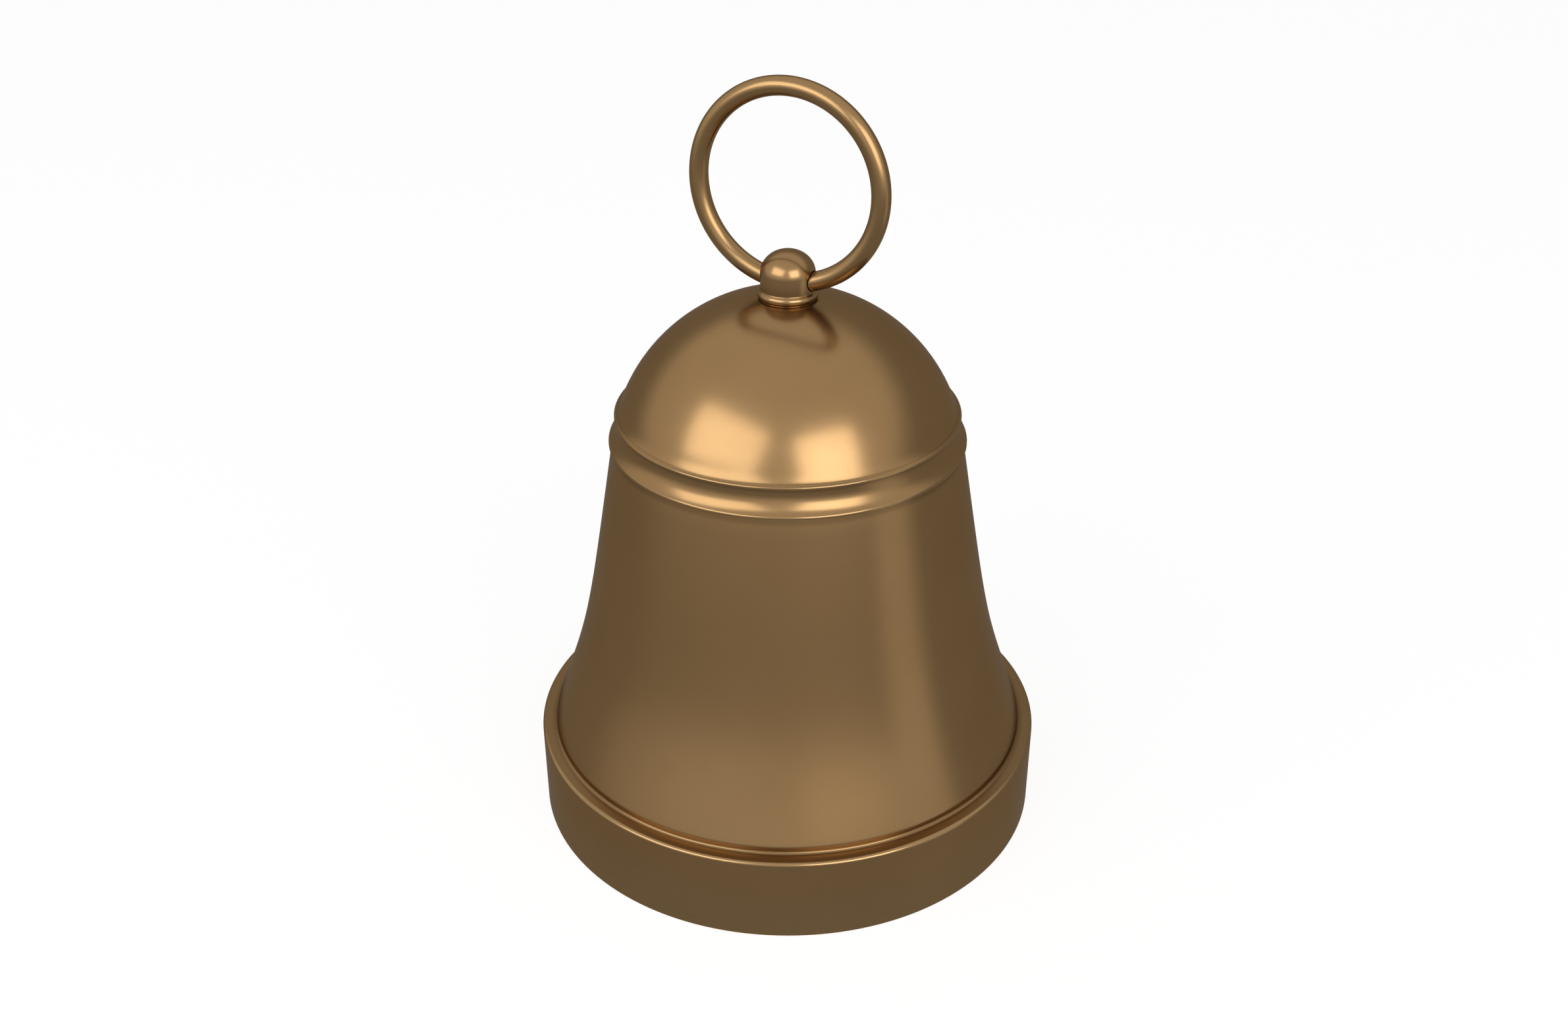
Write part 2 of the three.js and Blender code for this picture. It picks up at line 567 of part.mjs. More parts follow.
function clapperShaft() {
  const studEnd = BALL_TOP - STUD_DEPTH + STUD_END_ROOM;
  const neckFoot = point(NECK_RADIUS, -BOSS_RADIUS - NECK_FLARE_LENGTH);
  const neckBend = point(NECK_RADIUS, -BOSS_RADIUS - NECK_FLARE_LENGTH / 6);
  const neckTop = point(0.8 * BOSS_RADIUS, -BOSS_RADIUS / 2);
  const flare = new THREE.QuadraticBezierCurve(neckFoot, neckBend, neckTop);
  const rod = turned([
    point(0, studEnd),
    point(CLAPPER_STUD_RADIUS - THREAD_CHAMFER, studEnd),
    point(CLAPPER_STUD_RADIUS, studEnd + THREAD_CHAMFER),
    point(CLAPPER_STUD_RADIUS, SHAFT_SHOULDER),
    point(SHAFT_FOOT_RADIUS, SHAFT_SHOULDER + SHAFT_FOOT_TAPER),
    point(SHAFT_FOOT_RADIUS, SHAFT_SHOULDER + SHAFT_FOOT_LENGTH),
    ...flare.getPoints(4),
    point(0, -BOSS_RADIUS / 2),
  ]);
  const boss = discAlongX(BOSS_RADIUS, -BOSS_HALF_WIDTH, 2 * BOSS_HALF_WIDTH);
  const overHalfWidth = BOSS_HALF_WIDTH + OVERRUN;
  const bore = discAlongX(BUSH_RADIUS + GAP, -overHalfWidth, 2 * overHalfWidth);
  return surface(solid(rod).add(solid(boss)).subtract(solid(bore)));
}

// A ball with a small flat on top and a blind hole for the shaft's threaded end.
function clapperBall() {
  const flatAngle = inDegrees(Math.acos(BALL_FLAT_RADIUS / BALL_RADIUS));
  const holeRadius = CLAPPER_STUD_RADIUS + GAP;
  const outline = [
    ...arc(point(0, BALL_CENTRE), BALL_RADIUS, -90, flatAngle, 10),
    point(holeRadius, BALL_TOP),
    point(holeRadius, BALL_TOP - STUD_DEPTH),
    point(0, BALL_TOP - STUD_DEPTH),
  ];
  outline[0].x = 0;
  return turned(outline);
}

function ballLockNut() {
  const boreRadius = CLAPPER_STUD_RADIUS + GAP;
  return surface(hexagon(BALL_NUT_ACROSS_FLATS, BALL_NUT_BOTTOM, BALL_NUT_HEIGHT, boreRadius));
}

// ---------------------------------------------------------------- assembly

const FINISHES = {
  bronze: { color: 0x96754b, roughness: 0.38, metalness: 1 },
  bushBronze: { color: 0xb08a4e, roughness: 0.3, metalness: 1 },
  leather: { color: 0x3a2618, roughness: 0.85, metalness: 0 },
  forgedIron: { color: 0x3c3a38, roughness: 0.7, metalness: 0.8 },
  steel: { color: 0x9a9c9e, roughness: 0.4, metalness: 1 },
};

function piece(name, geometry, finish, place = [0, 0, 0]) {
  const mesh = new THREE.Mesh(geometry, new THREE.MeshStandardMaterial(FINISHES[finish]));
  mesh.name = name;
  mesh.position.set(...place);
  return mesh;
}

const bellGroup = new THREE.Group();
bellGroup.add(
  piece("bell_casting", bellCasting(), "bronze"),
  piece("crown_knob", knob(), "bronze"),
  piece("knob_gasket", knobGasket(), "leather"),
  piece("crown_pad", crownPad(), "leather"),
  piece("clapper_staple", staple(), "forgedIron"),
  piece("staple_dowel", dowel(), "steel"),
  piece("crown_washer", crownWasher(), "steel"),
  piece("spring_washer", springWasher(), "steel"),
  piece("crown_nut", crownNut(), "steel"),
  piece("crown_lock_nut", crownLockNut(), "steel"),
);

const ringMesh = piece("suspension_ring", suspensionRing(), "bronze", [0, 0, RING_CENTRE]);
ringMesh.rotation.x = Math.PI / 2;

const thrustWasherPlace = THRUST_WASHER_START + THRUST_WASHER_THICKNESS / 2;
const pivotGroup = new THREE.Group();
pivotGroup.position.z = PIVOT_LEVEL;
pivotGroup.add(
  piece("pivot_bolt", pivotBolt(), "steel"),
  piece("thrust_washer_left", thrustWasher(), "bushBronze", [-thrustWasherPlace, 0, 0]),
  piece("thrust_washer_right", thrustWasher(), "bushBronze", [thrustWasherPlace, 0, 0]),
  piece("pivot_nut_washer", pivotNutWasher(), "steel"),
  piece("pivot_castle_nut", castleNut(), "steel"),
  piece("pivot_split_pin", splitPin(), "steel"),
);

const clapperGroup = new THREE.Group();
clapperGroup.position.z = PIVOT_LEVEL;
clapperGroup.add(
  piece("clapper_bush", clapperBush(), "bushBronze"),
  piece("clapper_shaft", clapperShaft(), "forgedIron"),
  piece("clapper_ball", clapperBall(), "forgedIron"),
  piece("ball_lock_nut", ballLockNut(), "steel"),
);

const churchBell = new THREE.Group();
churchBell.add(bellGroup, ringMesh, pivotGroup, clapperGroup);

export default churchBell;
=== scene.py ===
# A small church bell in satin bronze: the visual model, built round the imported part.
# Shapes are drawn in millimetres and turned into metres when a mesh is made. A turned piece is drawn
# about its own Z axis and then placed, so a material can follow its turning marks in object space.

import json
from math import acos, asin, atan2, comb, cos, degrees, pi, radians, sin, sqrt, tan

import bmesh
import bpy
from mathutils import Matrix, Vector, noise


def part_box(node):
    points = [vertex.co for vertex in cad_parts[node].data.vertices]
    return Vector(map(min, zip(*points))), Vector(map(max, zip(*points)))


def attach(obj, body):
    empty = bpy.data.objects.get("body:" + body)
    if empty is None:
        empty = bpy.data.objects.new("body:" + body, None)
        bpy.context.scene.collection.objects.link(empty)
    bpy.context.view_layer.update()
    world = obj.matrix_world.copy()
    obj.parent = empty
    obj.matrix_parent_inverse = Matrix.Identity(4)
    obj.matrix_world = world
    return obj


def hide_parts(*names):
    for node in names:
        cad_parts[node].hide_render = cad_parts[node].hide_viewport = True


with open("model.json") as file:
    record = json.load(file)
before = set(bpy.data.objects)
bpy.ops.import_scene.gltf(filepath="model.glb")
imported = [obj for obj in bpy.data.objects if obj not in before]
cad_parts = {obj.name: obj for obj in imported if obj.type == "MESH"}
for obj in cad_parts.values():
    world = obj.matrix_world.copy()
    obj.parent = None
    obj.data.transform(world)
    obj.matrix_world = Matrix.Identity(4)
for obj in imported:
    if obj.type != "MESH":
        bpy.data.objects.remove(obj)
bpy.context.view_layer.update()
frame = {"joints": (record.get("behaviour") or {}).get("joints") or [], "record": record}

MM = 0.001
scene = bpy.context.scene


# ---- camera

CAMERA_AZIMUTH = radians(24.6)  # from straight in front of the ring's face, towards +X
CAMERA_DISTANCE = 0.822  # from the bell's axis, along the ground
CAMERA_HEIGHT = 0.6367
CAMERA_PITCH = radians(28.6)  # downwards
CAMERA_PAN = radians(0.147)  # to the left, which sets the bell just right of the middle
CAMERA_LENS = 37.15


def make_camera():
    data = bpy.data.cameras.new("camera")
    data.sensor_width = 36
    data.lens = CAMERA_LENS
    camera = bpy.data.objects.new("camera", data)
    camera.location = (
        CAMERA_DISTANCE * sin(CAMERA_AZIMUTH),
        -CAMERA_DISTANCE * cos(CAMERA_AZIMUTH),
        CAMERA_HEIGHT,
    )
    camera.rotation_euler = (pi / 2 - CAMERA_PITCH, 0, CAMERA_AZIMUTH + CAMERA_PAN)
    scene.collection.objects.link(camera)
    scene.camera = camera


make_camera()


# ---- sizes from the frame

def low(node):
    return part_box(node)[0] / MM


def high(node):
    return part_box(node)[1] / MM


def levels(node):
    """The heights of a node's bottom and top."""
    return low(node).z, high(node).z


def ends(node):
    """A node's two ends along X."""
    return low(node).x, high(node).x


record = frame["record"]
BODY_OF = {node: body for body, nodes in record["behaviour"]["bodies"].items() for node in nodes}
JOINTS = {joint["name"]: joint for joint in frame["joints"]}

EYE_LEVEL = JOINTS["ring_swing"]["pos_m"][2] / MM
PIVOT_LEVEL = JOINTS["clapper_swing"]["pos_m"][2] / MM
SWING = radians(JOINTS["clapper_swing"]["range_deg"][1])
BALL_RADIUS = high("clapper_ball").y
BALL_CENTRE = low("clapper_ball").z + BALL_RADIUS
BALL_ARM = PIVOT_LEVEL - BALL_CENTRE
STRIKE_PLACE = (0, BALL_ARM * sin(SWING) + BALL_RADIUS, PIVOT_LEVEL - BALL_ARM * cos(SWING))
BALL_FACE = (0, BALL_RADIUS * cos(SWING), BALL_CENTRE - BALL_RADIUS * sin(SWING))
STRIKE_MARK = 16  # radius of the bright spot where the ball has struck the bell
BALL_MARK = 12  # and of the one on the ball
GAP = 0.3  # between pieces that touch, and round a thread or a shank
CONTACT = 0.02  # between faces pressed together where their joint is seen

BELL_SIDES = 160  # that its circle is drawn with
SMALL_SIDES = 72


# ---- outlines, as (radius, height) points

def point(radius, height):
    return Vector((radius, height))


def arc(centre, radius, start, end, steps):
    """Points on a circle, from one angle in degrees to another."""
    angles = [radians(start + (end - start) * step / steps) for step in range(steps + 1)]
    return [centre + radius * point(cos(angle), sin(angle)) for angle in angles]


def bezier(controls, steps):
    """Points on a Bezier curve."""
    degree = len(controls) - 1
    points = []
    for step in range(steps + 1):
        t = step / steps
        shares = [comb(degree, k) * (1 - t) ** (degree - k) * t**k for k in range(degree + 1)]
        points.append(sum((share * control for share, control in zip(shares, controls)), point(0, 0)))
    return points


def rounded(corners):
    """A closed outline through (radius, height, fillet) corners, with an arc at each that has a fillet."""
    outline = []
    steps = 5
    for index, (radius, height, fillet) in enumerate(corners):
        corner = point(radius, height)
        if not fillet:
            outline.append(corner)
            continue
        before = (point(*corners[index - 1][:2]) - corner).normalized()
        after = (point(*corners[(index + 1) % len(corners)][:2]) - corner).normalized()
        half = before.angle(after) / 2
        centre = corner + (before + after).normalized() * (fillet / sin(half))
        start = corner + before * (fillet / tan(half)) - centre
        end = corner + after * (fillet / tan(half)) - centre
        turn = -start.angle_signed(end)
        for step in range(steps + 1):
            outline.append(centre + Matrix.Rotation(turn * step / steps, 2) @ start)
    return outline


def turning(outline, index):
    """How far a closed outline turns at a point, in radians: positive on an edge, negative in a recess."""
    before = outline[index] - outline[index - 1]
    after = outline[(index + 1) % len(outline)] - outline[index]
    if before.length < 1e-6 or after.length < 1e-6:
        return 0
    return -before.angle_signed(after)


def supported(outline):
    """The outline with extra points beside its corners, so that flat stretches are shaded flat."""
    beside = 0.12
    corner = radians(3)
    made = []
    for index, start in enumerate(outline):
        following = (index + 1) % len(outline)
        end = outline[following]
        length = (end - start).length
        made.append(start)
        if length < 4 * beside:
            continue
        if abs(turning(outline, index)) > corner:
            made.append(start.lerp(end, beside / length))
        if abs(turning(outline, following)) > corner:
            made.append(end.lerp(start, beside / length))
    return made


def edges_along(outline):
    """At each point, how strongly the outline turns near it: 1 on a sharp edge, -1 deep in a recess."""
    reach = 1.2
    full_turn = radians(70)
    turns = [turning(outline, index) for index in range(len(outline))]
    values = []
    for spot in outline:
        near = sum(turn for turn, other in zip(turns, outline) if (other - spot).length < reach)
        values.append(max(-1, min(1, near / full_turn)))
    return values


# ---- meshes

def add_object(name, mesh):
    piece = bpy.data.objects.new(name, mesh)
    scene.collection.objects.link(piece)
    return piece


def shade(mesh, sharp_degrees=35):
    mesh.polygons.foreach_set("use_smooth", [True] * len(mesh.polygons))
    mesh.set_sharp_from_angle(angle=radians(sharp_degrees))


def lathe(name, outline, sides=SMALL_SIDES, thread=None):
    """A solid turned about Z from a closed outline that goes up its outer side first.
    thread is a function that gives how far a point at (angle, height) is cut below the outline."""
    outline = supported(outline)
    edges = edges_along(outline)
    vertices = []
    for side in range(sides):
        angle = 2 * pi * side / sides
        for radius, height in outline:
            groove = thread(angle, radius, height) if thread else 0
            reach = (radius - groove) * MM
            vertices.append((reach * cos(angle), reach * sin(angle), height * MM))
    count = len(outline)
    faces = []
    for side in range(sides):
        here = side * count
        there = (side + 1) % sides * count
        for index in range(count):
            following = (index + 1) % count
            if outline[index].x < 1e-6 and outline[following].x < 1e-6:
                continue
            faces.append((here + index, there + index, there + following, here + following))
    mesh = bpy.data.meshes.new(name)
    mesh.from_pydata(vertices, [], faces)
    mesh.attributes.new("edge", "FLOAT", "POINT").data.foreach_set("value", edges * sides)
    weld(mesh)
    shade(mesh)
    return add_object(name, mesh)


def weld(mesh):
    """Joins the points that meet, as on a turned piece's axis or in the slivers that a cut leaves."""
    work = bmesh.new()
    work.from_mesh(mesh)
    bmesh.ops.remove_doubles(work, verts=work.verts, dist=1e-6)
    work.to_mesh(mesh)
    work.free()


def prism(name, outline, start, end):
    """A flat outline in X and Y, extruded from one height to another."""
    count = len(outline)
    vertices = [(x * MM, y * MM, z * MM) for z in (start, end) for x, y in outline]
    faces = [tuple(reversed(range(count))), tuple(range(count, 2 * count))]
    for index in range(count):
        following = (index + 1) % count
        faces.append((index, following, count + following, count + index))
    mesh = bpy.data.meshes.new(name)
    mesh.from_pydata(vertices, [], faces)
    return add_object(name, mesh)


def sweep(name, path, section, across):
    """A section of (across, up) points carried along a path that runs square to one axis."""
    count = len(section)
    last = len(path) - 1
    vertices = []
    for index, spot in enumerate(path):
        along = (path[min(index + 1, last)] - path[max(index - 1, 0)]).normalized()
        up = along.cross(across)
        vertices += [(spot + across * a + up * u) * MM for a, u in section]
    faces = [tuple(reversed(range(count))), tuple(range(last * count, (last + 1) * count))]
    for start in range(0, last * count, count):
        for side in range(count):
            following = (side + 1) % count
            faces.append((start + side, start + following, start + count + following, start + count + side))
    mesh = bpy.data.meshes.new(name)
    mesh.from_pydata(vertices, [], faces)
    face_outwards(mesh)
    shade(mesh)
    return add_object(name, mesh)


def face_outwards(mesh):
    work = bmesh.new()
    work.from_mesh(mesh)
    bmesh.ops.recalc_face_normals(work, faces=work.faces)
    work.to_mesh(mesh)
    work.free()


def settle(piece):
    """Applies a piece's modifiers to its mesh."""
    graph = bpy.context.evaluated_depsgraph_get()
    mesh = bpy.data.meshes.new_from_object(piece.evaluated_get(graph), depsgraph=graph)
    weld(mesh)
    piece.modifiers.clear()
    piece.data = mesh


def combine(piece, tool, operation):
    """Cuts, joins or intersects a piece with a tool, which is used up."""
    modifier = piece.modifiers.new(operation, "BOOLEAN")
    modifier.operation = operation
    modifier.solver = "EXACT"
    modifier.object = tool
    settle(piece)
    bpy.data.objects.remove(tool)


def cut(piece, tool):
    """Takes the tool's shape out of a piece."""
    combine(piece, tool, "DIFFERENCE")


def place(piece, along_x=False, location=(0, 0, 0)):
    """Puts a piece where it belongs, and lays it along X if asked."""
    piece.rotation_euler = (0, pi / 2 if along_x else 0, 0)
    piece.location = Vector(location) * MM
    bpy.context.view_layer.update()
    return piece


def on_pivot(piece):
    """Lays a turned piece along the clapper's pivot."""
    return place(piece, True, (0, 0, PIVOT_LEVEL))


def drill(radius, start, end, sides=SMALL_SIDES):
    """A round cutter."""
    return lathe("hole", [point(0, start), point(radius, start), point(radius, end), point(0, end)], sides)


def soften(piece, width):
    """Rounds a piece's edges and evens out its shading."""
    bevel = piece.modifiers.new("edges", "BEVEL")
    bevel.width = width * MM
    bevel.segments = 3
    bevel.limit_method = "ANGLE"
    bevel.angle_limit = radians(30)
    bevel.harden_normals = True
    shade(piece.data)
    settle(piece)
    return piece


def forge(piece, grain, seed):
    """Remeshes a rough solid to an even grain, melts its edges and dents it, as under a hammer."""
    remesh = piece.modifiers.new("even", "REMESH")
    remesh.mode = "VOXEL"
    remesh.voxel_size = grain * MM
    smooth = piece.modifiers.new("melt", "SMOOTH")
    smooth.factor = 0.5
    smooth.iterations = 5
    settle(piece)
    dent(piece, depth=0.3, spacing=9, seed=seed)
    shade(piece.data, sharp_degrees=180)


def dent(piece, depth, spacing, seed):
    """Shallow dents about so far apart, which only go inwards."""
    offsets = []
    for vertex in piece.data.vertices:
        spot = vertex.co / (spacing * MM) + Vector((seed, seed, seed))
        share = 0.5 + 0.5 * noise.noise(spot)
        offsets.append(vertex.normal * (depth * MM * share))
    for vertex, offset in zip(piece.data.vertices, offsets):
        vertex.co -= offset


def stand_for(piece, node, *materials):
    """The piece takes the place of a CAD node, which it hides: it rides on its body and has its materials.
    """
    piece.data.materials.clear()
    for material in materials:
        piece.data.materials.append(material)
    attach(piece, BODY_OF[node])
    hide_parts(node)


# ---- material helpers

class Nodes:
    """Short ways to add nodes to a node tree. An input is a value or another node's output."""

    def __init__(self, tree):
        self.tree = tree

    def add(self, kind, inputs=None, **settings):
        node = self.tree.nodes.new("ShaderNode" + kind)
        for name, value in settings.items():
            setattr(node, name, value)
        for name, value in (inputs or {}).items():
            self.feed(node.inputs[name], value)
        return node

    def feed(self, socket, value):
        if isinstance(value, bpy.types.NodeSocket):
            self.tree.links.new(value, socket)
        else:
            socket.default_value = value

    def maths(self, operation, first, second=0.0):
        return self.add("Math", {0: first, 1: second}, operation=operation).outputs[0]

    def vectors(self, operation, first, second=(0, 0, 0), output="Vector"):
        """Vector maths. Its output is "Value" where the answer is a number."""
        return self.add("VectorMath", {0: first, 1: second}, operation=operation).outputs[output]

    def between(self, value, low_value, high_value, to_low=0.0, to_high=1.0):
        """The value's place between two limits, with soft ends, as a new range."""
        names = ("Value", "From Min", "From Max", "To Min", "To Max")
        inputs = dict(zip(names, (value, low_value, high_value, to_low, to_high)))
        return self.add("MapRange", inputs, interpolation_type="SMOOTHSTEP").outputs[0]

    def mix(self, share, first, second):
        """A shader between two shaders."""
        return self.add("MixShader", {0: share, 1: first, 2: second}).outputs[0]


class Finish(Nodes):
    """A new material made of such nodes. Its textures are in object space."""

    def __init__(self, name):
        self.material = bpy.data.materials.new(name)
        self.material.use_nodes = True
        super().__init__(self.material.node_tree)
        self.shader = self.tree.nodes["Principled BSDF"]
        self.spot = self.add("TexCoord").outputs["Object"]

    def grain(self, scale, detail=3.0, roughness=0.5, vector=None):
        """Noise from about 0.25 to 0.75, with so many features in a metre."""
        inputs = {"Vector": vector or self.spot, "Scale": scale, "Detail": detail, "Roughness": roughness}
        return self.add("TexNoise", inputs).outputs[0]

    def blend(self, share, first, second):
        """A colour between two colours."""
        return self.add("Mix", {0: share, 6: first, 7: second}, data_type="RGBA").outputs[2]

    def bump(self, height, depth, normal=None):
        """A normal from a height whose full range is so many millimetres deep."""
        inputs = {"Height": height, "Distance": depth * MM, "Strength": 1.0}
        if normal:
            inputs["Normal"] = normal
        return self.add("Bump", inputs).outputs[0]

    def attribute(self, name):
        return self.add("Attribute", attribute_name=name).outputs["Fac"]

    def turned_spot(self):
        """Object space wound round Z: the same along a whole turning mark, apart from a slow wander."""
        wander = 0.6 * MM
        flat = self.vectors("MULTIPLY", self.spot, (1, 1, 0))
        radius = self.vectors("LENGTH", flat, output="Value")
        height = self.add("SeparateXYZ", {0: self.spot}).outputs["Z"]
        drift = self.vectors("MULTIPLY", self.vectors("NORMALIZE", flat), (wander, wander, wander))
        track = self.add("CombineXYZ", {0: radius, 1: height}).outputs[0]
        return self.vectors("ADD", track, drift)

    def struck(self, centre, reach):
        """1 at a place on the +Y side and at its mirror image on the other, fading out within a reach."""
        away = self.vectors("DISTANCE", self.vectors("ABSOLUTE", self.spot), Vector(centre) * MM, "Value")
        return self.between(away, reach * MM, 0.35 * reach * MM)

    def finish(self, **sockets):
        for name, value in sockets.items():
            self.feed(self.shader.inputs[name.replace("_", " ")], value)
        return self.material


def colour(red, green, blue):
    return (red, green, blue, 1.0)


# ---- materials

BRONZE_ROUGHNESS = 0.252  # the denoiser draws patches where it crosses 0.274, so it stays below that
BRONZE_REFLECTION_SHADE = colour(0.25, 0.165, 0.095)  # painted shade: the darker colour bronze takes wherever it is seen in a reflection
RIM = colour(0.95, 0.83, 0.67)  # tint of its gloss where it is seen at a slant
MARK_DEPTH = 0.0004  # of the turning marks


def turned_bronze(name, bright, dull):
    """Satin bronze with fine turning marks, a faint brown bloom, worn brighter edges, recesses darkened by
    patina and painted shade, and painted shade where it shows in a reflection.
    """
    finish = Finish(name)
    track = finish.turned_spot()
    marks = finish.grain(1300, 2, 0.6, track)
    broad_marks = finish.grain(210, 2, 0.5, track)
    bloom = finish.grain(16, 4, 0.55)
    fine = finish.grain(420, 3, 0.6)
    edge = finish.attribute("edge")
    patchy = finish.between(fine, 0.3, 0.55, 0.45, 1)
    wear = finish.maths("MULTIPLY", finish.between(edge, 0.4, 0.95), patchy)
    # partly dark patina, partly painted shade: where the outline turns inwards the bronze is darkened
    recess = finish.between(edge, -0.1, -0.8)

    tint = finish.blend(finish.between(bloom, 0.32, 0.68), dull, bright)
    # painted shade and patina: recesses blend halfway towards this dark brown
    tint = finish.blend(finish.maths("MULTIPLY", recess, 0.5), tint, colour(0.4, 0.23, 0.1))
    tint = finish.blend(finish.maths("MULTIPLY", wear, 0.35), tint, colour(0.93, 0.64, 0.33))
    # painted shade: wherever bronze is seen in a reflection it takes a set darker colour instead of its own
    reflection_shade_mask = finish.add("LightPath").outputs["Is Glossy Ray"]
    tint = finish.blend(reflection_shade_mask, tint, BRONZE_REFLECTION_SHADE)

    satin = finish.between(bloom, 0.3, 0.7, BRONZE_ROUGHNESS + 0.012, BRONZE_ROUGHNESS - 0.016)
    satin = finish.maths("ADD", satin, finish.between(broad_marks, 0.2, 0.8, -0.008, 0.008))
    satin = finish.maths("SUBTRACT", satin, finish.maths("MULTIPLY", wear, 0.06))

    relief = finish.bump(marks, MARK_DEPTH)
    relief = finish.bump(broad_marks, 3 * MARK_DEPTH, relief)
    return finish.finish(Base_Color=tint, Metallic=1.0, Roughness=satin, Normal=relief, Specular_Tint=RIM)


def cast_bronze(name):
    """The bell's inside as it came from the mould: brown and grainy, but bright where the ball strikes."""
    finish = Finish(name)
    sand = finish.grain(900, 3, 0.65)
    lumps = finish.grain(120, 3, 0.5)
    stain = finish.grain(22, 4, 0.6)
    struck = finish.struck(STRIKE_PLACE, STRIKE_MARK)
    struck = finish.maths("MULTIPLY", struck, finish.between(lumps, 0.35, 0.5, 0.4, 1))

    browned, bare = colour(0.34, 0.205, 0.105), colour(0.6, 0.38, 0.19)
    tint = finish.blend(finish.between(stain, 0.3, 0.7), browned, bare)
    tint = finish.blend(struck, tint, colour(0.86, 0.56, 0.27))
    rough = finish.between(sand, 0.25, 0.75, 0.5, 0.64)
    rough = finish.maths("SUBTRACT", rough, finish.maths("MULTIPLY", struck, 0.25))
    relief = finish.bump(sand, 0.09)
    relief = finish.bump(lumps, 0.35, relief)
    return finish.finish(Base_Color=tint, Metallic=0.4, Roughness=rough, Normal=relief)


def bearing_bronze(name):
    """Machined bearing bronze with a film of dark oil."""
    finish = Finish(name)
    marks = finish.grain(1500, 2, 0.6, finish.turned_spot())
    oil = finish.grain(140, 4, 0.6)
    dark, bright = colour(0.4, 0.24, 0.1), colour(0.78, 0.54, 0.26)
    tint = finish.blend(finish.between(oil, 0.35, 0.65), dark, bright)
    rough = finish.between(oil, 0.3, 0.7, 0.2, 0.36)
    return finish.finish(Base_Color=tint, Metallic=1.0, Roughness=rough, Normal=finish.bump(marks, 0.006))


def forged_iron(name, struck_at=None):
    """Black forge scale over iron, worn grey on the edges and, where asked for, on two striking spots."""
    finish = Finish(name)
    scale = finish.grain(260, 5, 0.62)
    patches = finish.grain(45, 4, 0.6)
    rust = finish.between(finish.grain(75, 5, 0.7), 0.56, 0.7)
    pointed = finish.add("NewGeometry").outputs["Pointiness"]
    worn = finish.maths("MULTIPLY", finish.between(pointed, 0.51, 0.57), finish.between(scale, 0.35, 0.55))
    if struck_at:
        worn = finish.maths("MAXIMUM", worn, finish.struck(struck_at, BALL_MARK))

    black, grey = colour(0.1, 0.095, 0.09), colour(0.2, 0.18, 0.165)
    tint = finish.blend(finish.between(patches, 0.35, 0.65), black, grey)
    tint = finish.blend(finish.maths("MULTIPLY", rust, 0.55), tint, colour(0.17, 0.075, 0.035))
    tint = finish.blend(worn, tint, colour(0.42, 0.4, 0.38))
    rough = finish.between(scale, 0.3, 0.7, 0.48, 0.72)
    rough = finish.maths("SUBTRACT", rough, finish.maths("MULTIPLY", worn, 0.18))
    relief = finish.bump(scale, 0.12)
    return finish.finish(Base_Color=tint, Metallic=0.55, Roughness=rough, Normal=relief)


def zinc_steel(name):
    """Dull zinc plate with small spangles and a few stains."""
    finish = Finish(name)
    spangle = finish.add("TexVoronoi", {"Vector": finish.spot, "Scale": 520.0}).outputs["Color"]
    shine = finish.add("SeparateColor", {0: spangle}).outputs[0]
    stain = finish.grain(160, 4, 0.65)
    dull, shiny = colour(0.43, 0.43, 0.42), colour(0.54, 0.54, 0.53)
    tint = finish.blend(finish.between(shine, 0, 1), dull, shiny)
    tint = finish.blend(finish.between(stain, 0.52, 0.7, 0, 0.6), tint, colour(0.25, 0.23, 0.2))
    rough = finish.between(stain, 0.3, 0.7, 0.34, 0.5)
    relief = finish.bump(finish.grain(1400, 3, 0.6), 0.012)
    return finish.finish(Base_Color=tint, Metallic=1.0, Roughness=rough, Normal=relief)


def oiled_leather(name):
    """Dark harness leather with a pebbled grain and dry, lighter fibres on its worn edges."""
    finish = Finish(name)
    inputs = {"Vector": finish.spot, "Scale": 850.0}
    pebble = finish.add("TexVoronoi", inputs, feature="SMOOTH_F1").outputs["Distance"]
    blotch = finish.grain(110, 4, 0.6)
    fibre = finish.grain(1600, 4, 0.7)
    edge = finish.between(finish.attribute("edge"), 0.2, 0.9)
    dry = finish.maths("MULTIPLY", edge, finish.between(fibre, 0.35, 0.65))
    dark, brown = colour(0.022, 0.012, 0.007), colour(0.06, 0.031, 0.016)
    tint = finish.blend(finish.between(blotch, 0.3, 0.7), dark, brown)
    tint = finish.blend(finish.maths("MULTIPLY", dry, 0.7), tint, colour(0.14, 0.08, 0.045))
    rough = finish.between(blotch, 0.3, 0.7, 0.5, 0.68)
    relief = finish.bump(pebble, 0.1)
    relief = finish.bump(fibre, 0.03, relief)
    return finish.finish(Base_Color=tint, Roughness=rough, Normal=relief)


lighter_bronze = (colour(0.86, 0.53, 0.24), colour(0.8, 0.487, 0.216))  # a little brighter than the bell's own bronze
bell_bronze = turned_bronze("bell bronze", colour(0.84, 0.512, 0.231), colour(0.79, 0.478, 0.212))
knob_bronze = turned_bronze("knob bronze", *lighter_bronze)
ring_bronze = turned_bronze("ring bronze", *lighter_bronze)
inner_bronze = cast_bronze("cast bronze inside")
bush_bronze = bearing_bronze("bearing bronze")
iron = forged_iron("forged iron")
ball_iron = forged_iron("forged iron of the ball", BALL_FACE)
steel = zinc_steel("zinc plated steel")
leather = oiled_leather("oiled leather")


# ---- bell casting

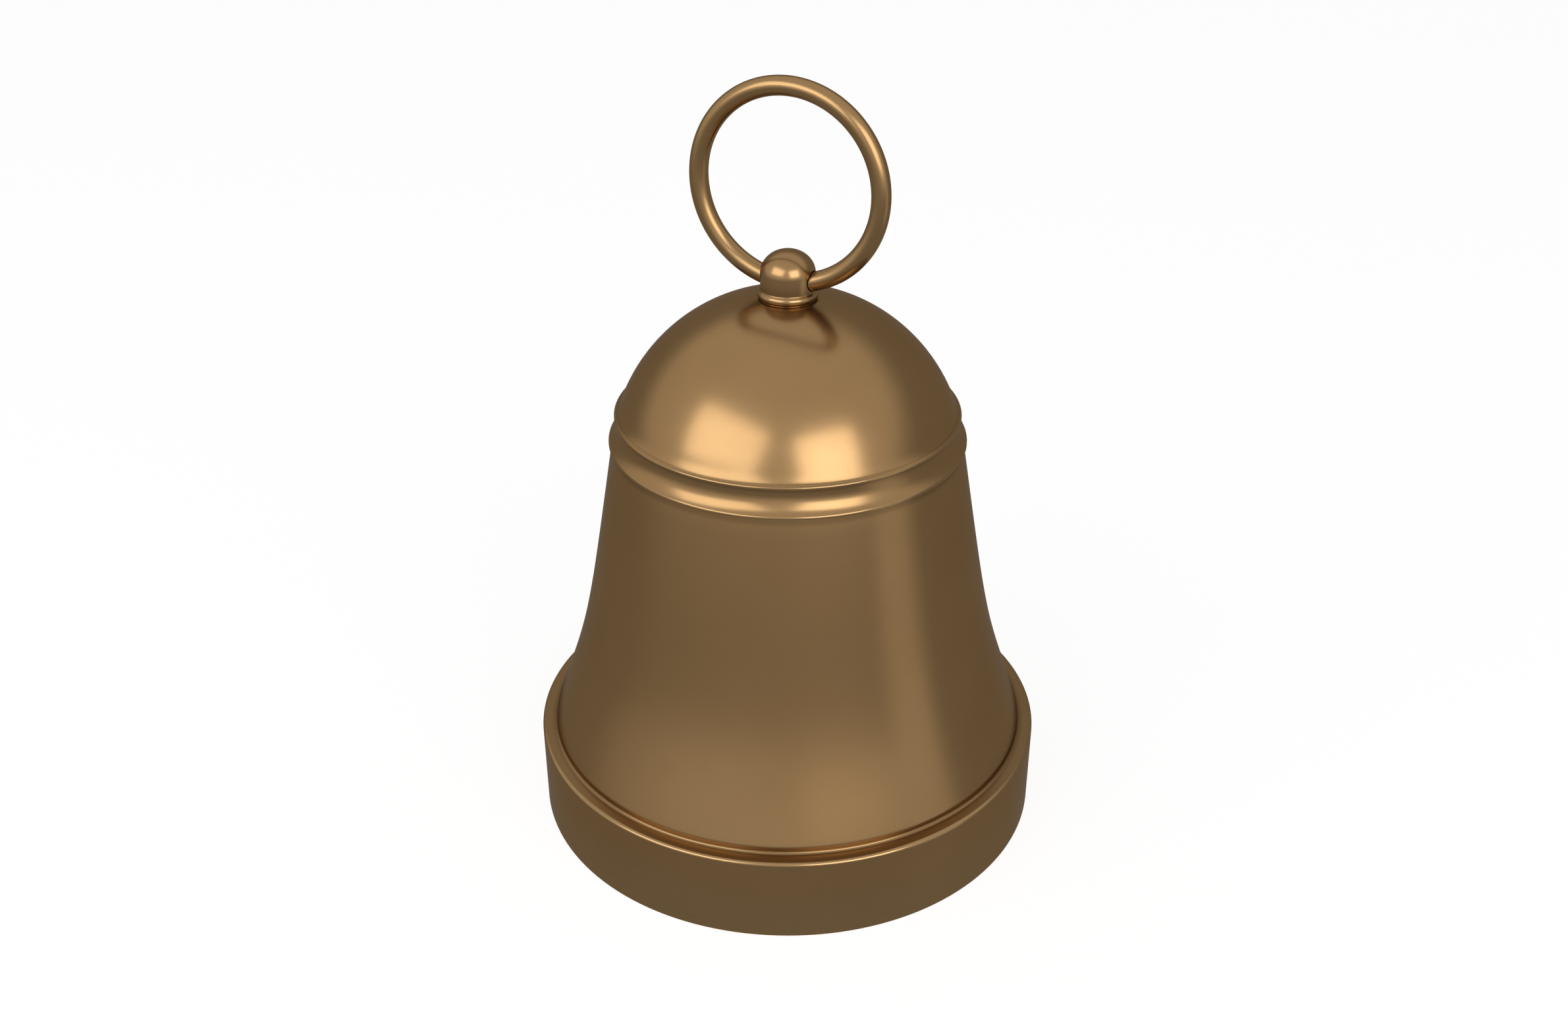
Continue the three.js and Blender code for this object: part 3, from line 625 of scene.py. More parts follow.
DRUM_HEIGHT = 51.1
DRUM_EDGE = 1.9  # how far the drum's upper edge is rounded
LIP_EDGE = 0.4  # and its lower one
LEDGE_FILLET = 1.8  # where the waist's foot rises from the ledge
FOOT_BEND = 5  # radius of the bend from the upright foot into the waist's slope
WAIST = [point(140.7, 55.8), point(119, 115.8), point(119, 115.8), point(98.8, 235.3)]
WAIST_FILLET = 0.8  # under the lower brim
BRIM_TOP = 237.3
BRIM_ROUND = 1.5  # of a brim's upper edge
BRIM_CORNER = 0.25  # of its lower edge
COLLAR_RADIUS = 95.6  # the narrowest place, between the two brims
COLLAR_HEIGHT = 247.5
CAVETTO_RADIUS = 13.6  # the hollow moulding that sweeps down from the collar to the lower brim
DOME_BRIM_EDGE_RADIUS = 97
DOME_BRIM_BOTTOM = 250.8
DOME_BRIM_TOP = 252.5
DOME_BRIM_ROUND = 1.0
DOME_FLARE_RISE = 0.8
DOME_RADIUS = 100.4
DOME_CENTRE = point(0, 219)
DOME_FOOT_ANGLE = 23.2  # degrees above the horizontal, where the dome flares into its brim
CROWN_SEAT_RADIUS = 17.5
LIP_WIDTH = 12
LIP_EASED_UP = point(-0.35, 1.0)  # how far its inner edge is taken off, up the wall
LIP_EASED_OUT = point(0.5, 0)  # and across the flat
WAIST_WALL = 8.8
INNER_DOME_RADIUS = DOME_RADIUS - 9
INNER_SEAT_RADIUS = 30
BOW_TOP = 0.18  # how far up the waist the sound bow has thinned to the waist's wall
BOW_SHOULDER = point(127, 52)
BOW_BELLY = point(127, 28)
SHANK_RADIUS = 8
SHANK_TIP_RADIUS = SHANK_RADIUS - 1.3
CROWN_BORE_RADIUS = SHANK_RADIUS + GAP
CROWN_SEAT = high("bell_casting").z
INNER_SEAT = DOME_CENTRE.y + sqrt(INNER_DOME_RADIUS**2 - INNER_SEAT_RADIUS**2)
INNER_COLLAR_RADIUS = COLLAR_RADIUS - 4  # under the crown, the inner side is all within it
DOWEL_RADIUS = 2.5
DOWEL_PLACE = (sum(ends("staple_dowel")) / 2, 0, 0)


def inner_waist():
    """The waist's curve moved inwards by the wall, from the collar down to the sound bow."""
    steps = 60
    curve = bezier(WAIST, steps)
    inner = []
    for step in range(steps, round(BOW_TOP * steps) - 1, -1):
        along = (curve[min(step + 1, steps)] - curve[step - 1]).normalized()
        inner.append(curve[step] + WAIST_WALL * point(-along.y, along.x))
    return inner


def waist_foot():
    """Up from the ledge: a hollow fillet, a short upright stretch and the bend into the waist's slope."""
    slope = WAIST[1] - WAIST[0]
    bend_angle = degrees(atan2(-slope.x, slope.y))
    bend = arc(point(0, 0), FOOT_BEND, 0, bend_angle, 8)
    bend = [WAIST[0] - bend[-1] + spot for spot in bend]
    fillet_centre = point(bend[0].x + LEDGE_FILLET, DRUM_HEIGHT + LEDGE_FILLET)
    return [*arc(fillet_centre, LEDGE_FILLET, 270, 180, 8), *bend]


def lower_brim():
    """Out under the brim, up its edge, and over its rounded top into the hollow moulding."""
    rise = asin((COLLAR_HEIGHT - BRIM_TOP) / CAVETTO_RADIUS)
    steepness = point(cos(rise), sin(rise))
    cavetto_centre = point(COLLAR_RADIUS + CAVETTO_RADIUS, COLLAR_HEIGHT)
    round_centre = cavetto_centre - (CAVETTO_RADIUS + BRIM_ROUND) * steepness
    edge_radius = round_centre.x + BRIM_ROUND
    return [
        *arc(WAIST[-1] + point(WAIST_FILLET, -WAIST_FILLET), WAIST_FILLET, 180, 90, 5),
        *brim_corner(edge_radius, WAIST[-1].y),
        *arc(round_centre, BRIM_ROUND, 0, degrees(rise), 8),
        *arc(cavetto_centre, CAVETTO_RADIUS, 180 + degrees(rise), 180, 18)[1:],
    ]


def brim_corner(edge_radius, bottom):
    return arc(point(edge_radius - BRIM_CORNER, bottom + BRIM_CORNER), BRIM_CORNER, -90, 0, 3)


def dome_brim():
    """The collar's top, the brim's edge, and the flare up to the dome."""
    foot = radians(DOME_FOOT_ANGLE)
    dome_foot = DOME_CENTRE + DOME_RADIUS * point(cos(foot), sin(foot))
    round_centre = point(DOME_BRIM_EDGE_RADIUS - DOME_BRIM_ROUND, DOME_BRIM_TOP - DOME_BRIM_ROUND)
    flare_level = DOME_BRIM_TOP + DOME_FLARE_RISE
    flare_bend = point(dome_foot.x + (dome_foot.y - flare_level) * tan(foot), flare_level)
    edge = arc(round_centre, DOME_BRIM_ROUND, 0, 90, 8)
    return [
        point(COLLAR_RADIUS, DOME_BRIM_BOTTOM),
        *brim_corner(DOME_BRIM_EDGE_RADIUS, DOME_BRIM_BOTTOM),
        *edge,
        *bezier([edge[-1], flare_bend, dome_foot], 12)[1:-1],
    ]


def bell_outline():
    mouth = high("bell_casting").x
    seat_angle = degrees(acos(CROWN_SEAT_RADIUS / DOME_RADIUS))
    inner_top_angle = degrees(acos(INNER_SEAT_RADIUS / INNER_DOME_RADIUS))
    waist_inside = inner_waist()
    lip_inside = point(mouth - LIP_WIDTH, 0)
    bow = bezier([waist_inside[-1], BOW_SHOULDER, BOW_BELLY, lip_inside], 24)
    return [
        *arc(point(mouth - LIP_EDGE, LIP_EDGE), LIP_EDGE, -90, 0, 6),
        *arc(point(mouth - DRUM_EDGE, DRUM_HEIGHT - DRUM_EDGE), DRUM_EDGE, 0, 90, 8),
        *waist_foot(),
        *bezier(WAIST, 60)[1:-1],
        *lower_brim(),
        *dome_brim(),
        *arc(DOME_CENTRE, DOME_RADIUS, DOME_FOOT_ANGLE, seat_angle, 60),
        point(CROWN_BORE_RADIUS, CROWN_SEAT),
        point(CROWN_BORE_RADIUS, INNER_SEAT),
        *arc(DOME_CENTRE, INNER_DOME_RADIUS, inner_top_angle, 15, 40),
        *waist_inside,
        *bow[1:-1],
        lip_inside + LIP_EASED_UP,
        lip_inside + LIP_EASED_OUT,
    ]


def is_inside(face):
    """On the bell's inner wall or under its crown."""
    outwards = Vector((face.center.x, face.center.y, 0)).normalized()
    under_crown = face.normal.z < -0.5 and face.center.z > 0.5 * CROWN_SEAT * MM
    within = Vector(face.center.xy).length < INNER_COLLAR_RADIUS * MM
    return face.normal.dot(outwards) < -0.05 or (under_crown and within)


def dowel_hole(start, end, sides=32):
    """A cutter where the dowel stands."""
    return place(drill(DOWEL_RADIUS + GAP, start, end, sides), location=DOWEL_PLACE)


def make_bell():
    bell = lathe("bell", bell_outline(), BELL_SIDES)
    cut(bell, dowel_hole(INNER_SEAT - 1, high("staple_dowel").z + GAP, SMALL_SIDES))
    stand_for(bell, "bell_casting", bell_bronze, inner_bronze)
    for face in bell.data.polygons:
        face.material_index = 1 if is_inside(face) else 0
    shade(bell.data)


make_bell()


# ---- knob, gasket and ring

KNOB_RADIUS = 15
KNOB_HEAD_HEIGHT = 12.8  # of its domed top
BEAD_RADIUS = 2.7
BEAD_CENTRE = 2.4  # above the crown
BEAD_OUTER_RADIUS = 16.6
BEAD_COVE = 1.2  # radius of the small hollow between the bead and the wall
KNOB_FOOT_RADIUS = 15.6
EYE_CLEARANCE = 0.2
COARSE_PITCH = 2.0  # of the M16 and M14 threads
TIP_CHAMFER = 1.2  # height of the chamfer at their tips
FINE_PITCH = 1.5  # of the M10 thread
RING_CENTRE = sum(levels("suspension_ring")) / 2
RING_BAR_RADIUS = high("suspension_ring").y
RING_RADIUS = high("suspension_ring").x - RING_BAR_RADIUS
RING_SIDES = 192


def screw_thread(radius, pitch, start, end):
    """A thread for lathe(): a V cut on the stretch of that radius, fading out at both ends."""
    depth = 0.6 * pitch

    def groove(angle, at_radius, height):
        if abs(at_radius - radius) > 1e-3 or not start < height < end:
            return 0
        phase = (height / pitch - angle / (2 * pi)) % 1
        fade = min(1, (height - start) / pitch, (end - height) / pitch)
        return depth * fade * min(1, max(0, 2.6 * abs(phase - 0.5) - 0.15))

    return groove


def upright_stretch(radius, start, end, spacing):
    """Evenly spaced points straight up an outline."""
    steps = max(1, round((end - start) / spacing))
    return [point(radius, start + (end - start) * step / steps) for step in range(steps + 1)]


def eye_cutter():
    """Wide in its middle, where the bar hangs lowest, and close round it at its mouths."""
    reach = KNOB_RADIUS + 3
    mouth_radius = RING_BAR_RADIUS / cos(asin(KNOB_RADIUS / RING_RADIUS)) + EYE_CLEARANCE
    mouth_drop = sqrt(RING_RADIUS**2 - KNOB_RADIUS**2)
    steps = 16
    throat = []
    for step in range(steps + 1):
        across = KNOB_RADIUS * (2 * step / steps - 1)
        bar_drop = sqrt(RING_RADIUS**2 - across**2) - mouth_drop
        throat.append(point(mouth_radius + bar_drop, across))
    outer = throat[0].x + 1
    outline = [point(0, -reach), point(outer, -reach), *throat, point(outer, reach), point(0, reach)]
    return place(lathe("eye", outline, 64), True, (0, 0, EYE_LEVEL))


def knob_bead():
    """The knob's foot, the bead round it, and the small hollow above the bead."""
    centre = point(BEAD_OUTER_RADIUS - BEAD_RADIUS, CROWN_SEAT + BEAD_CENTRE)
    start = -degrees(acos((KNOB_FOOT_RADIUS - centre.x) / BEAD_RADIUS))
    apart = BEAD_RADIUS + BEAD_COVE
    meeting = acos((KNOB_RADIUS + BEAD_COVE - centre.x) / apart)
    cove_centre = centre + apart * point(cos(meeting), sin(meeting))
    meeting = degrees(meeting)
    return [
        point(KNOB_FOOT_RADIUS, CROWN_SEAT + CONTACT),
        *arc(centre, BEAD_RADIUS, start, meeting, 16),
        *arc(cove_centre, BEAD_COVE, 180 + meeting, 180, 6)[1:],
    ]


def make_knob():
    shank_end = low("crown_knob").z
    recess = point(high("knob_gasket").x + GAP, high("knob_gasket").z + GAP)
    head_foot = high("crown_knob").z - KNOB_HEAD_HEIGHT
    steps = 32
    angles = [pi / 2 * step / steps for step in range(steps + 1)]
    head = [point(KNOB_RADIUS * cos(turn), head_foot + KNOB_HEAD_HEIGHT * sin(turn)) for turn in angles]
    thread_top = low("spring_washer").z
    outline = [
        point(0, shank_end),
        point(SHANK_TIP_RADIUS, shank_end),
        *upright_stretch(SHANK_RADIUS, shank_end + TIP_CHAMFER, thread_top, COARSE_PITCH / 10),
        point(SHANK_RADIUS, recess.y),
        recess,
        point(recess.x, CROWN_SEAT + CONTACT),
        *knob_bead(),
        *head[:-1],
        point(0, head[-1].y),
    ]
    thread = screw_thread(SHANK_RADIUS, COARSE_PITCH, shank_end, thread_top)
    knob = lathe("knob", outline, 96, thread)
    cut(knob, eye_cutter())
    shade(knob.data)
    stand_for(knob, "crown_knob", knob_bronze)


def make_gasket():
    inner, outer = CROWN_BORE_RADIUS, high("knob_gasket").x
    bottom, top = levels("knob_gasket")
    corners = [(inner, bottom, 0), (outer, bottom, 0.4), (outer, top, 0.4), (inner, top, 0)]
    stand_for(lathe("gasket", rounded(corners)), "knob_gasket", leather)


def make_ring():
    section = arc(point(RING_RADIUS, 0), RING_BAR_RADIUS, 0, 360, 48)[:-1]
    ring = lathe("ring", section, RING_SIDES)
    ring.rotation_euler = (pi / 2, 0, 0)
    ring.location = Vector((0, 0, RING_CENTRE)) * MM
    stand_for(ring, "suspension_ring", ring_bronze)


make_knob()
make_gasket()
make_ring()


# ---- crown fastening

STRAP_THICKNESS = 6
STRAP_OUTER_BEND = 7
STRAP_INNER_BEND = 2
PIVOT_RADIUS = 5
PIVOT_BORE_RADIUS = PIVOT_RADIUS + GAP
HEX_CHAMFER = 0.48  # radius of a nut's face inside its chamfer, as a share of its width across flats
BORE_CHAMFER = 0.6
HEX_EDGE = 0.18  # how far a nut's edges are rounded


def flat_ring(name, inner, outer, bottom, top, fillet):
    bore_fillet = 0.6 * fillet
    outside = [(outer, bottom, fillet), (outer, top, fillet)]
    return lathe(name, rounded([(inner, bottom, bore_fillet), *outside, (inner, top, bore_fillet)]))


def hexagon(name, across_flats, bottom, top, bore=0):
    """A hexagonal nut or head with flats square to X, chamfered faces and softened edges."""
    corner = across_flats / sqrt(3)
    face = across_flats * HEX_CHAMFER
    outside = corner + 1
    fall = (outside - face) * tan(radians(30))
    edge = BORE_CHAMFER if bore else 0
    envelope = [
        point(bore + edge, bottom),
        point(face, bottom),
        point(outside, bottom + fall),
        point(outside, top - fall),
        point(face, top),
        point(bore + edge, top),
    ]
    if bore:
        envelope += [point(bore, top - edge), point(bore, bottom + edge)]
    nut = lathe(name, envelope, 96)
    angles = [radians(90 + 60 * side) for side in range(6)]
    outline = [(corner * cos(angle), corner * sin(angle)) for angle in angles]
    combine(nut, prism("hexagon", outline, bottom - 1, top + 1), "INTERSECT")
    return soften(nut, HEX_EDGE)


def make_pad():
    bottom, top = levels("crown_pad")
    pad = flat_ring("pad", CROWN_BORE_RADIUS, high("crown_pad").x, bottom, top, 0.9)
    cut(pad, dowel_hole(bottom - 1, top + 1))
    shade(pad.data)
    stand_for(pad, "crown_pad", leather)


def strap_outline(outer, bottom, top):
    """The strap bent to a U, as (x, z) points."""
    inner = outer - STRAP_THICKNESS
    under = top - STRAP_THICKNESS
    right_side = [
        *arc(point(outer - STRAP_OUTER_BEND, top - STRAP_OUTER_BEND), STRAP_OUTER_BEND, 90, 0, 8),
        point(outer, bottom),
        point(inner, bottom),
        *arc(point(inner - STRAP_INNER_BEND, under - STRAP_INNER_BEND), STRAP_INNER_BEND, 0, 90, 5),
    ]
    return [*right_side, *(point(-x, z) for x, z in reversed(right_side))]


def make_staple():
    outer, half_breadth, top = high("clapper_staple")
    outline = strap_outline(outer, low("clapper_staple").z - 1, top)
    strap = prism("staple", outline, -half_breadth, half_breadth)
    strap.data.transform(Matrix.Rotation(pi / 2, 4, "X"))
    face_outwards(strap.data)
    leg = [
        *arc(point(0, PIVOT_LEVEL), half_breadth, 180, 360, 32),
        point(half_breadth, top + 1),
        point(-half_breadth, top + 1),
    ]
    legs = prism("legs", leg, -outer - 1, outer + 1)
    legs.data.transform(Matrix(((0, 0, 1), (1, 0, 0), (0, 1, 0))).to_4x4())
    face_outwards(legs.data)
    combine(strap, legs, "INTERSECT")
    forge(strap, grain=0.8, seed=3.0)
    cut(strap, drill(CROWN_BORE_RADIUS, top - 2 * STRAP_THICKNESS, top + 1))
    cut(strap, dowel_hole(low("staple_dowel").z - GAP, top + 1))
    cut(strap, on_pivot(drill(PIVOT_BORE_RADIUS, -outer - 1, outer + 1)))
    shade(strap.data, 45)
    stand_for(strap, "clapper_staple", iron)


def make_dowel():
    bottom, top = levels("staple_dowel")
    corners = [(0, bottom, 0), (DOWEL_RADIUS, bottom, 0.5), (DOWEL_RADIUS, top, 0.5), (0, top, 0)]
    pin = place(lathe("dowel", rounded(corners), 48), location=DOWEL_PLACE)
    stand_for(pin, "staple_dowel", steel)


def make_crown_washer():
    node = "crown_washer"
    washer = flat_ring("plain_washer", CROWN_BORE_RADIUS, high(node).x, *levels(node), 0.35)
    stand_for(washer, node, steel)


def make_spring_washer():
    """One turn of a flat bar, whose two cut ends stand a little apart in height."""
    node = "spring_washer"
    outer = high(node).x
    middle = (outer + CROWN_BORE_RADIUS) / 2
    half_width = (outer - CROWN_BORE_RADIUS) / 2
    rise = 0.25
    bottom, top = levels(node)
    half_height = (top - bottom - rise) / 2
    half_gap = radians(8)
    path = []
    steps = 90
    for step in range(steps + 1):
        share = step / steps
        angle = pi / 2 + half_gap + (2 * pi - 2 * half_gap) * share
        height = (bottom + top) / 2 + rise * (share - 0.5)
        path.append(Vector((middle * cos(angle), middle * sin(angle), height)))
    corner = 0.4
    section = []
    for across, up in ((1, 1), (1, -1), (-1, -1), (-1, 1)):
        tall = point(across * half_height, up * (half_width - corner))
        wide = point(across * (half_height - corner), up * half_width)
        section += [wide, tall] if across * up > 0 else [tall, wide]
    stand_for(sweep("split_washer", path, section, Vector((0, 0, 1))), node, steel)


def make_nut(name, node, bore):
    stand_for(hexagon(name, 2 * high(node).x, *levels(node), bore), node, steel)


make_pad()
make_staple()
make_dowel()
make_crown_washer()
make_spring_washer()
make_nut("full_nut", "crown_nut", CROWN_BORE_RADIUS)
make_nut("thin_nut", "crown_lock_nut", CROWN_BORE_RADIUS)


# ---- clapper pivot, drawn along Z and then laid along X

CASTLE_HEX_HEIGHT = 8
CASTLE_CROWN_RADIUS = 7
CASTLE_SLOT_WIDTH = 3.2
SPLIT_PIN_HOLE_RADIUS = 1.5
SPLIT_PIN_LEG = 0.65  # from the pin's middle to each leg's
SPLIT_PIN_EYE_RADIUS = 1.9
SPLIT_PIN_HALF_WIRE = 0.55
SPLIT_PIN_PLACE = sum(ends("pivot_split_pin")) / 2
BUSH_WALL = 2.7


def block(size, height):
    """A cutter with square corners, with its middle on the axis at a height."""
    half_x, half_y, half_z = (length / 2 for length in size)
    outline = [(-half_x, -half_y), (half_x, -half_y), (half_x, half_y), (-half_x, half_y)]
    made = prism("block", outline, -half_z, half_z)
    made.location = Vector((0, 0, height)) * MM
    return made


def make_pivot_bolt():
    node = "pivot_bolt"
    staple_side = high("clapper_staple").x
    head_top = -staple_side - GAP
    end = high(node).x
    bolt = hexagon("bolt", 2 * (high(node).z - PIVOT_LEVEL), low(node).x, head_top)
    thread_start = staple_side + GAP
    shank = [
        point(0, head_top - 1),
        point(PIVOT_RADIUS, head_top - 1),
        *upright_stretch(PIVOT_RADIUS, thread_start, end - 1, FINE_PITCH / 10),
        point(PIVOT_RADIUS - 1, end),
        point(0, end),
    ]
    thread = screw_thread(PIVOT_RADIUS, FINE_PITCH, thread_start, end - 1)
    combine(bolt, lathe("shank", shank, 64, thread), "UNION")
    pin_hole = drill(SPLIT_PIN_HOLE_RADIUS, -PIVOT_RADIUS - 1, PIVOT_RADIUS + 1, 32)
    cut(bolt, place(pin_hole, True, (0, 0, SPLIT_PIN_PLACE)))
    shade(bolt.data)
    stand_for(on_pivot(bolt), node, steel)


def make_pivot_washers():
    for name, node, material in (
        ("left_thrust_washer", "thrust_washer_left", bush_bronze),
        ("right_thrust_washer", "thrust_washer_right", bush_bronze),
        ("nut_washer", "pivot_nut_washer", steel),
    ):
        washer = flat_ring(name, PIVOT_BORE_RADIUS, high(node).y, *ends(node), 0.3)
        stand_for(on_pivot(washer), node, material)


def make_castle_nut():
    node = "pivot_castle_nut"
    start, end = ends(node)
    bore = PIVOT_BORE_RADIUS
    hex_end = start + CASTLE_HEX_HEIGHT
    nut = hexagon("castle_nut", 2 * (high(node).z - PIVOT_LEVEL), start, hex_end, bore)
    crown = CASTLE_CROWN_RADIUS
    corners = [(bore, hex_end - 1, 0), (crown, hex_end - 1, 0), (crown, end, 0.7), (bore, end, 0.5)]
    combine(nut, lathe("crown", rounded(corners)), "UNION")
    depth = end - hex_end
    slot_middle = hex_end + 0.4 + depth / 2
    for turn in (0, 60, 120):
        slot = block((4 * crown, CASTLE_SLOT_WIDTH, depth), slot_middle)
        slot.rotation_euler = (0, 0, radians(turn))
        bpy.context.view_layer.update()
        cut(nut, slot)
    shade(nut.data)
    stand_for(on_pivot(nut), node, steel)


def make_split_pin():
    """Half-round wire doubled back on itself: an eye above, two legs, and their ends bent apart below."""
    node = "pivot_split_pin"
    bend = 1.2
    tip = 2.6
    bend_level = PIVOT_LEVEL - CASTLE_CROWN_RADIUS - 1.2
    eye_centre = high(node).z - SPLIT_PIN_EYE_RADIUS - SPLIT_PIN_HALF_WIRE
    right_leg = [
        point(SPLIT_PIN_LEG + bend + tip, bend_level - bend),
        *arc(point(SPLIT_PIN_LEG + bend, bend_level), bend, 270, 180, 8),
        point(SPLIT_PIN_LEG, PIVOT_LEVEL),
        point(SPLIT_PIN_LEG, eye_centre - 1.7 * SPLIT_PIN_EYE_RADIUS),
    ]
    left_leg = [point(-x, z) for x, z in reversed(right_leg)]
    eye = arc(point(0, eye_centre), SPLIT_PIN_EYE_RADIUS, -58, 238, 20)
    path = [Vector((x, 0, z)) for x, z in [*right_leg, *eye, *left_leg]]
    half_circle = arc(point(0, 0), 1, 0, 180, 8)
    half_round = [(x, SPLIT_PIN_HALF_WIRE * (2 * y - 1)) for x, y in half_circle]
    pin = sweep("split_pin", path, half_round, Vector((0, 1, 0)))
    stand_for(place(pin, location=(SPLIT_PIN_PLACE, 0, 0)), node, steel)


make_pivot_bolt()
make_pivot_washers()
make_castle_nut()
make_split_pin()


# ---- clapper

BOSS_RADIUS = 14
BOSS_HALF_WIDTH = 13
NECK_RADIUS = 7
NECK_FLARE_LENGTH = 24
SHAFT_FOOT_RADIUS = 9.5
SHAFT_FOOT_LENGTH = 22
SHAFT_FOOT_TAPER = 2.5
STUD_RADIUS = 7
STUD_BORE_RADIUS = STUD_RADIUS + GAP
STUD_DEPTH = 22  # of the hole in the ball, below its flat
STUD_TIP_RADIUS = STUD_RADIUS - 1.2
BALL_CHAMFER = 0.8  # of the hole's mouth
BALL_FLAT_EDGE = 0.6
BUSH_RADIUS = PIVOT_BORE_RADIUS + BUSH_WALL
SHOULDER = high("ball_lock_nut").z + 3  # where the shaft's foot ends and its stud begins


def make_bush():
    node = "clapper_bush"
    bush = flat_ring("bush", PIVOT_BORE_RADIUS, BUSH_RADIUS, *ends(node), 0.5)
    stand_for(on_pivot(bush), node, bush_bronze)


def make_shaft():
    """Forged boss, neck and foot in one, then the machined bore and the threaded stud."""
    neck_foot = point(NECK_RADIUS, PIVOT_LEVEL - BOSS_RADIUS - NECK_FLARE_LENGTH)
    neck_bend = point(NECK_RADIUS, PIVOT_LEVEL - BOSS_RADIUS - NECK_FLARE_LENGTH / 6)
    neck_top = point(0.8 * BOSS_RADIUS, PIVOT_LEVEL - BOSS_RADIUS / 2)
    rod = [
        point(0, SHOULDER),
        point(STUD_RADIUS, SHOULDER),
        point(SHAFT_FOOT_RADIUS, SHOULDER + SHAFT_FOOT_TAPER),
        point(SHAFT_FOOT_RADIUS, SHOULDER + SHAFT_FOOT_LENGTH),
        *bezier([neck_foot, neck_bend, neck_top], 10),
        point(0, neck_top.y),
    ]
    shaft = lathe("shaft", rod)
    width = BOSS_HALF_WIDTH
    boss = [(0, -width, 0), (BOSS_RADIUS, -width, 1.5), (BOSS_RADIUS, width, 1.5), (0, width, 0)]
    combine(shaft, on_pivot(lathe("boss", rounded(boss))), "UNION")
    forge(shaft, grain=0.8, seed=11.0)
    cut(shaft, on_pivot(drill(BUSH_RADIUS + GAP, -width - 1, width + 1)))
    stud_end = low("clapper_shaft").z
    thread_end = SHOULDER - 0.5
    stud = [
        point(0, stud_end),
        point(STUD_TIP_RADIUS, stud_end),
        *upright_stretch(STUD_RADIUS, stud_end + TIP_CHAMFER, thread_end, COARSE_PITCH / 10),
        point(STUD_RADIUS, SHOULDER + 1),
        point(0, SHOULDER + 1),
    ]
    thread = screw_thread(STUD_RADIUS, COARSE_PITCH, stud_end, thread_end)
    combine(shaft, lathe("stud", stud, 64, thread), "UNION")
    shade(shaft.data, 45)
    stand_for(shaft, "clapper_shaft", iron)


def make_ball():
    node = "clapper_ball"
    top = high(node).z
    flat_angle = degrees(asin((top - BALL_CENTRE) / BALL_RADIUS))
    outline = [
        *arc(point(0, BALL_CENTRE), BALL_RADIUS, -90, flat_angle - 1, 56),
        point(BALL_RADIUS * cos(radians(flat_angle)) - BALL_FLAT_EDGE, top),
        point(STUD_BORE_RADIUS + BALL_CHAMFER, top),
        point(STUD_BORE_RADIUS, top - BALL_CHAMFER),
        point(STUD_BORE_RADIUS, top - STUD_DEPTH),
        point(0, top - STUD_DEPTH),
    ]
    outline[0].x = 0
    ball = lathe("ball", outline, 96)
    dent(ball, depth=0.35, spacing=11, seed=7.0)
    shade(ball.data)
    stand_for(ball, node, ball_iron)


make_bush()
make_shaft()
make_ball()
make_nut("ball_nut", "ball_lock_nut", STUD_BORE_RADIUS)


# ---- stage

FLOOR_SIZE = 12
FLOOR_GLOW = 1.25
FLOOR_SHADING = 0.3  # share of the lamps in its brightness, where the rest is its glow
SOFTBOX_DISTANCE = 3.5
DIM_ROOM = 0.145
LIT_ROOM = 0.355
LIGHT_BELOW = 1.6


def direction(azimuth, elevation):
    """A direction, in degrees: azimuth 0 is towards the camera along the ground, more is to its right."""
    turn = CAMERA_AZIMUTH + radians(azimuth)
    rise = radians(elevation)
    return Vector((sin(turn) * cos(rise), -cos(turn) * cos(rise), sin(rise)))


def make_floor():
    """A pale floor that neither shades the bell nor shows in it, and is clear from below."""
    work = bmesh.new()
    bmesh.ops.create_grid(work, x_segments=4, y_segments=4, size=FLOOR_SIZE / 2)
    mesh = bpy.data.meshes.new("floor")
    work.to_mesh(mesh)
    work.free()
    floor = add_object("floor", mesh)
    floor.location.z = -0.2 * MM
    floor.visible_glossy = False
    floor.visible_diffuse = False
    floor.visible_shadow = False

    material = bpy.data.materials.new("pale floor")
    material.use_nodes = True
    nodes = Nodes(material.node_tree)
    nodes.tree.nodes.clear()
    plain = nodes.add("Emission", {"Strength": FLOOR_GLOW}).outputs[0]
    shaded = nodes.add("BsdfDiffuse", {"Color": colour(0.95, 0.95, 0.95)}).outputs[0]
    surface = nodes.mix(FLOOR_SHADING, plain, shaded)
    clear = nodes.add("BsdfTransparent").outputs[0]
    underside = nodes.add("NewGeometry").outputs["Backfacing"]
    nodes.add("OutputMaterial", {"Surface": nodes.mix(underside, surface, clear)})
    floor.data.materials.append(material)


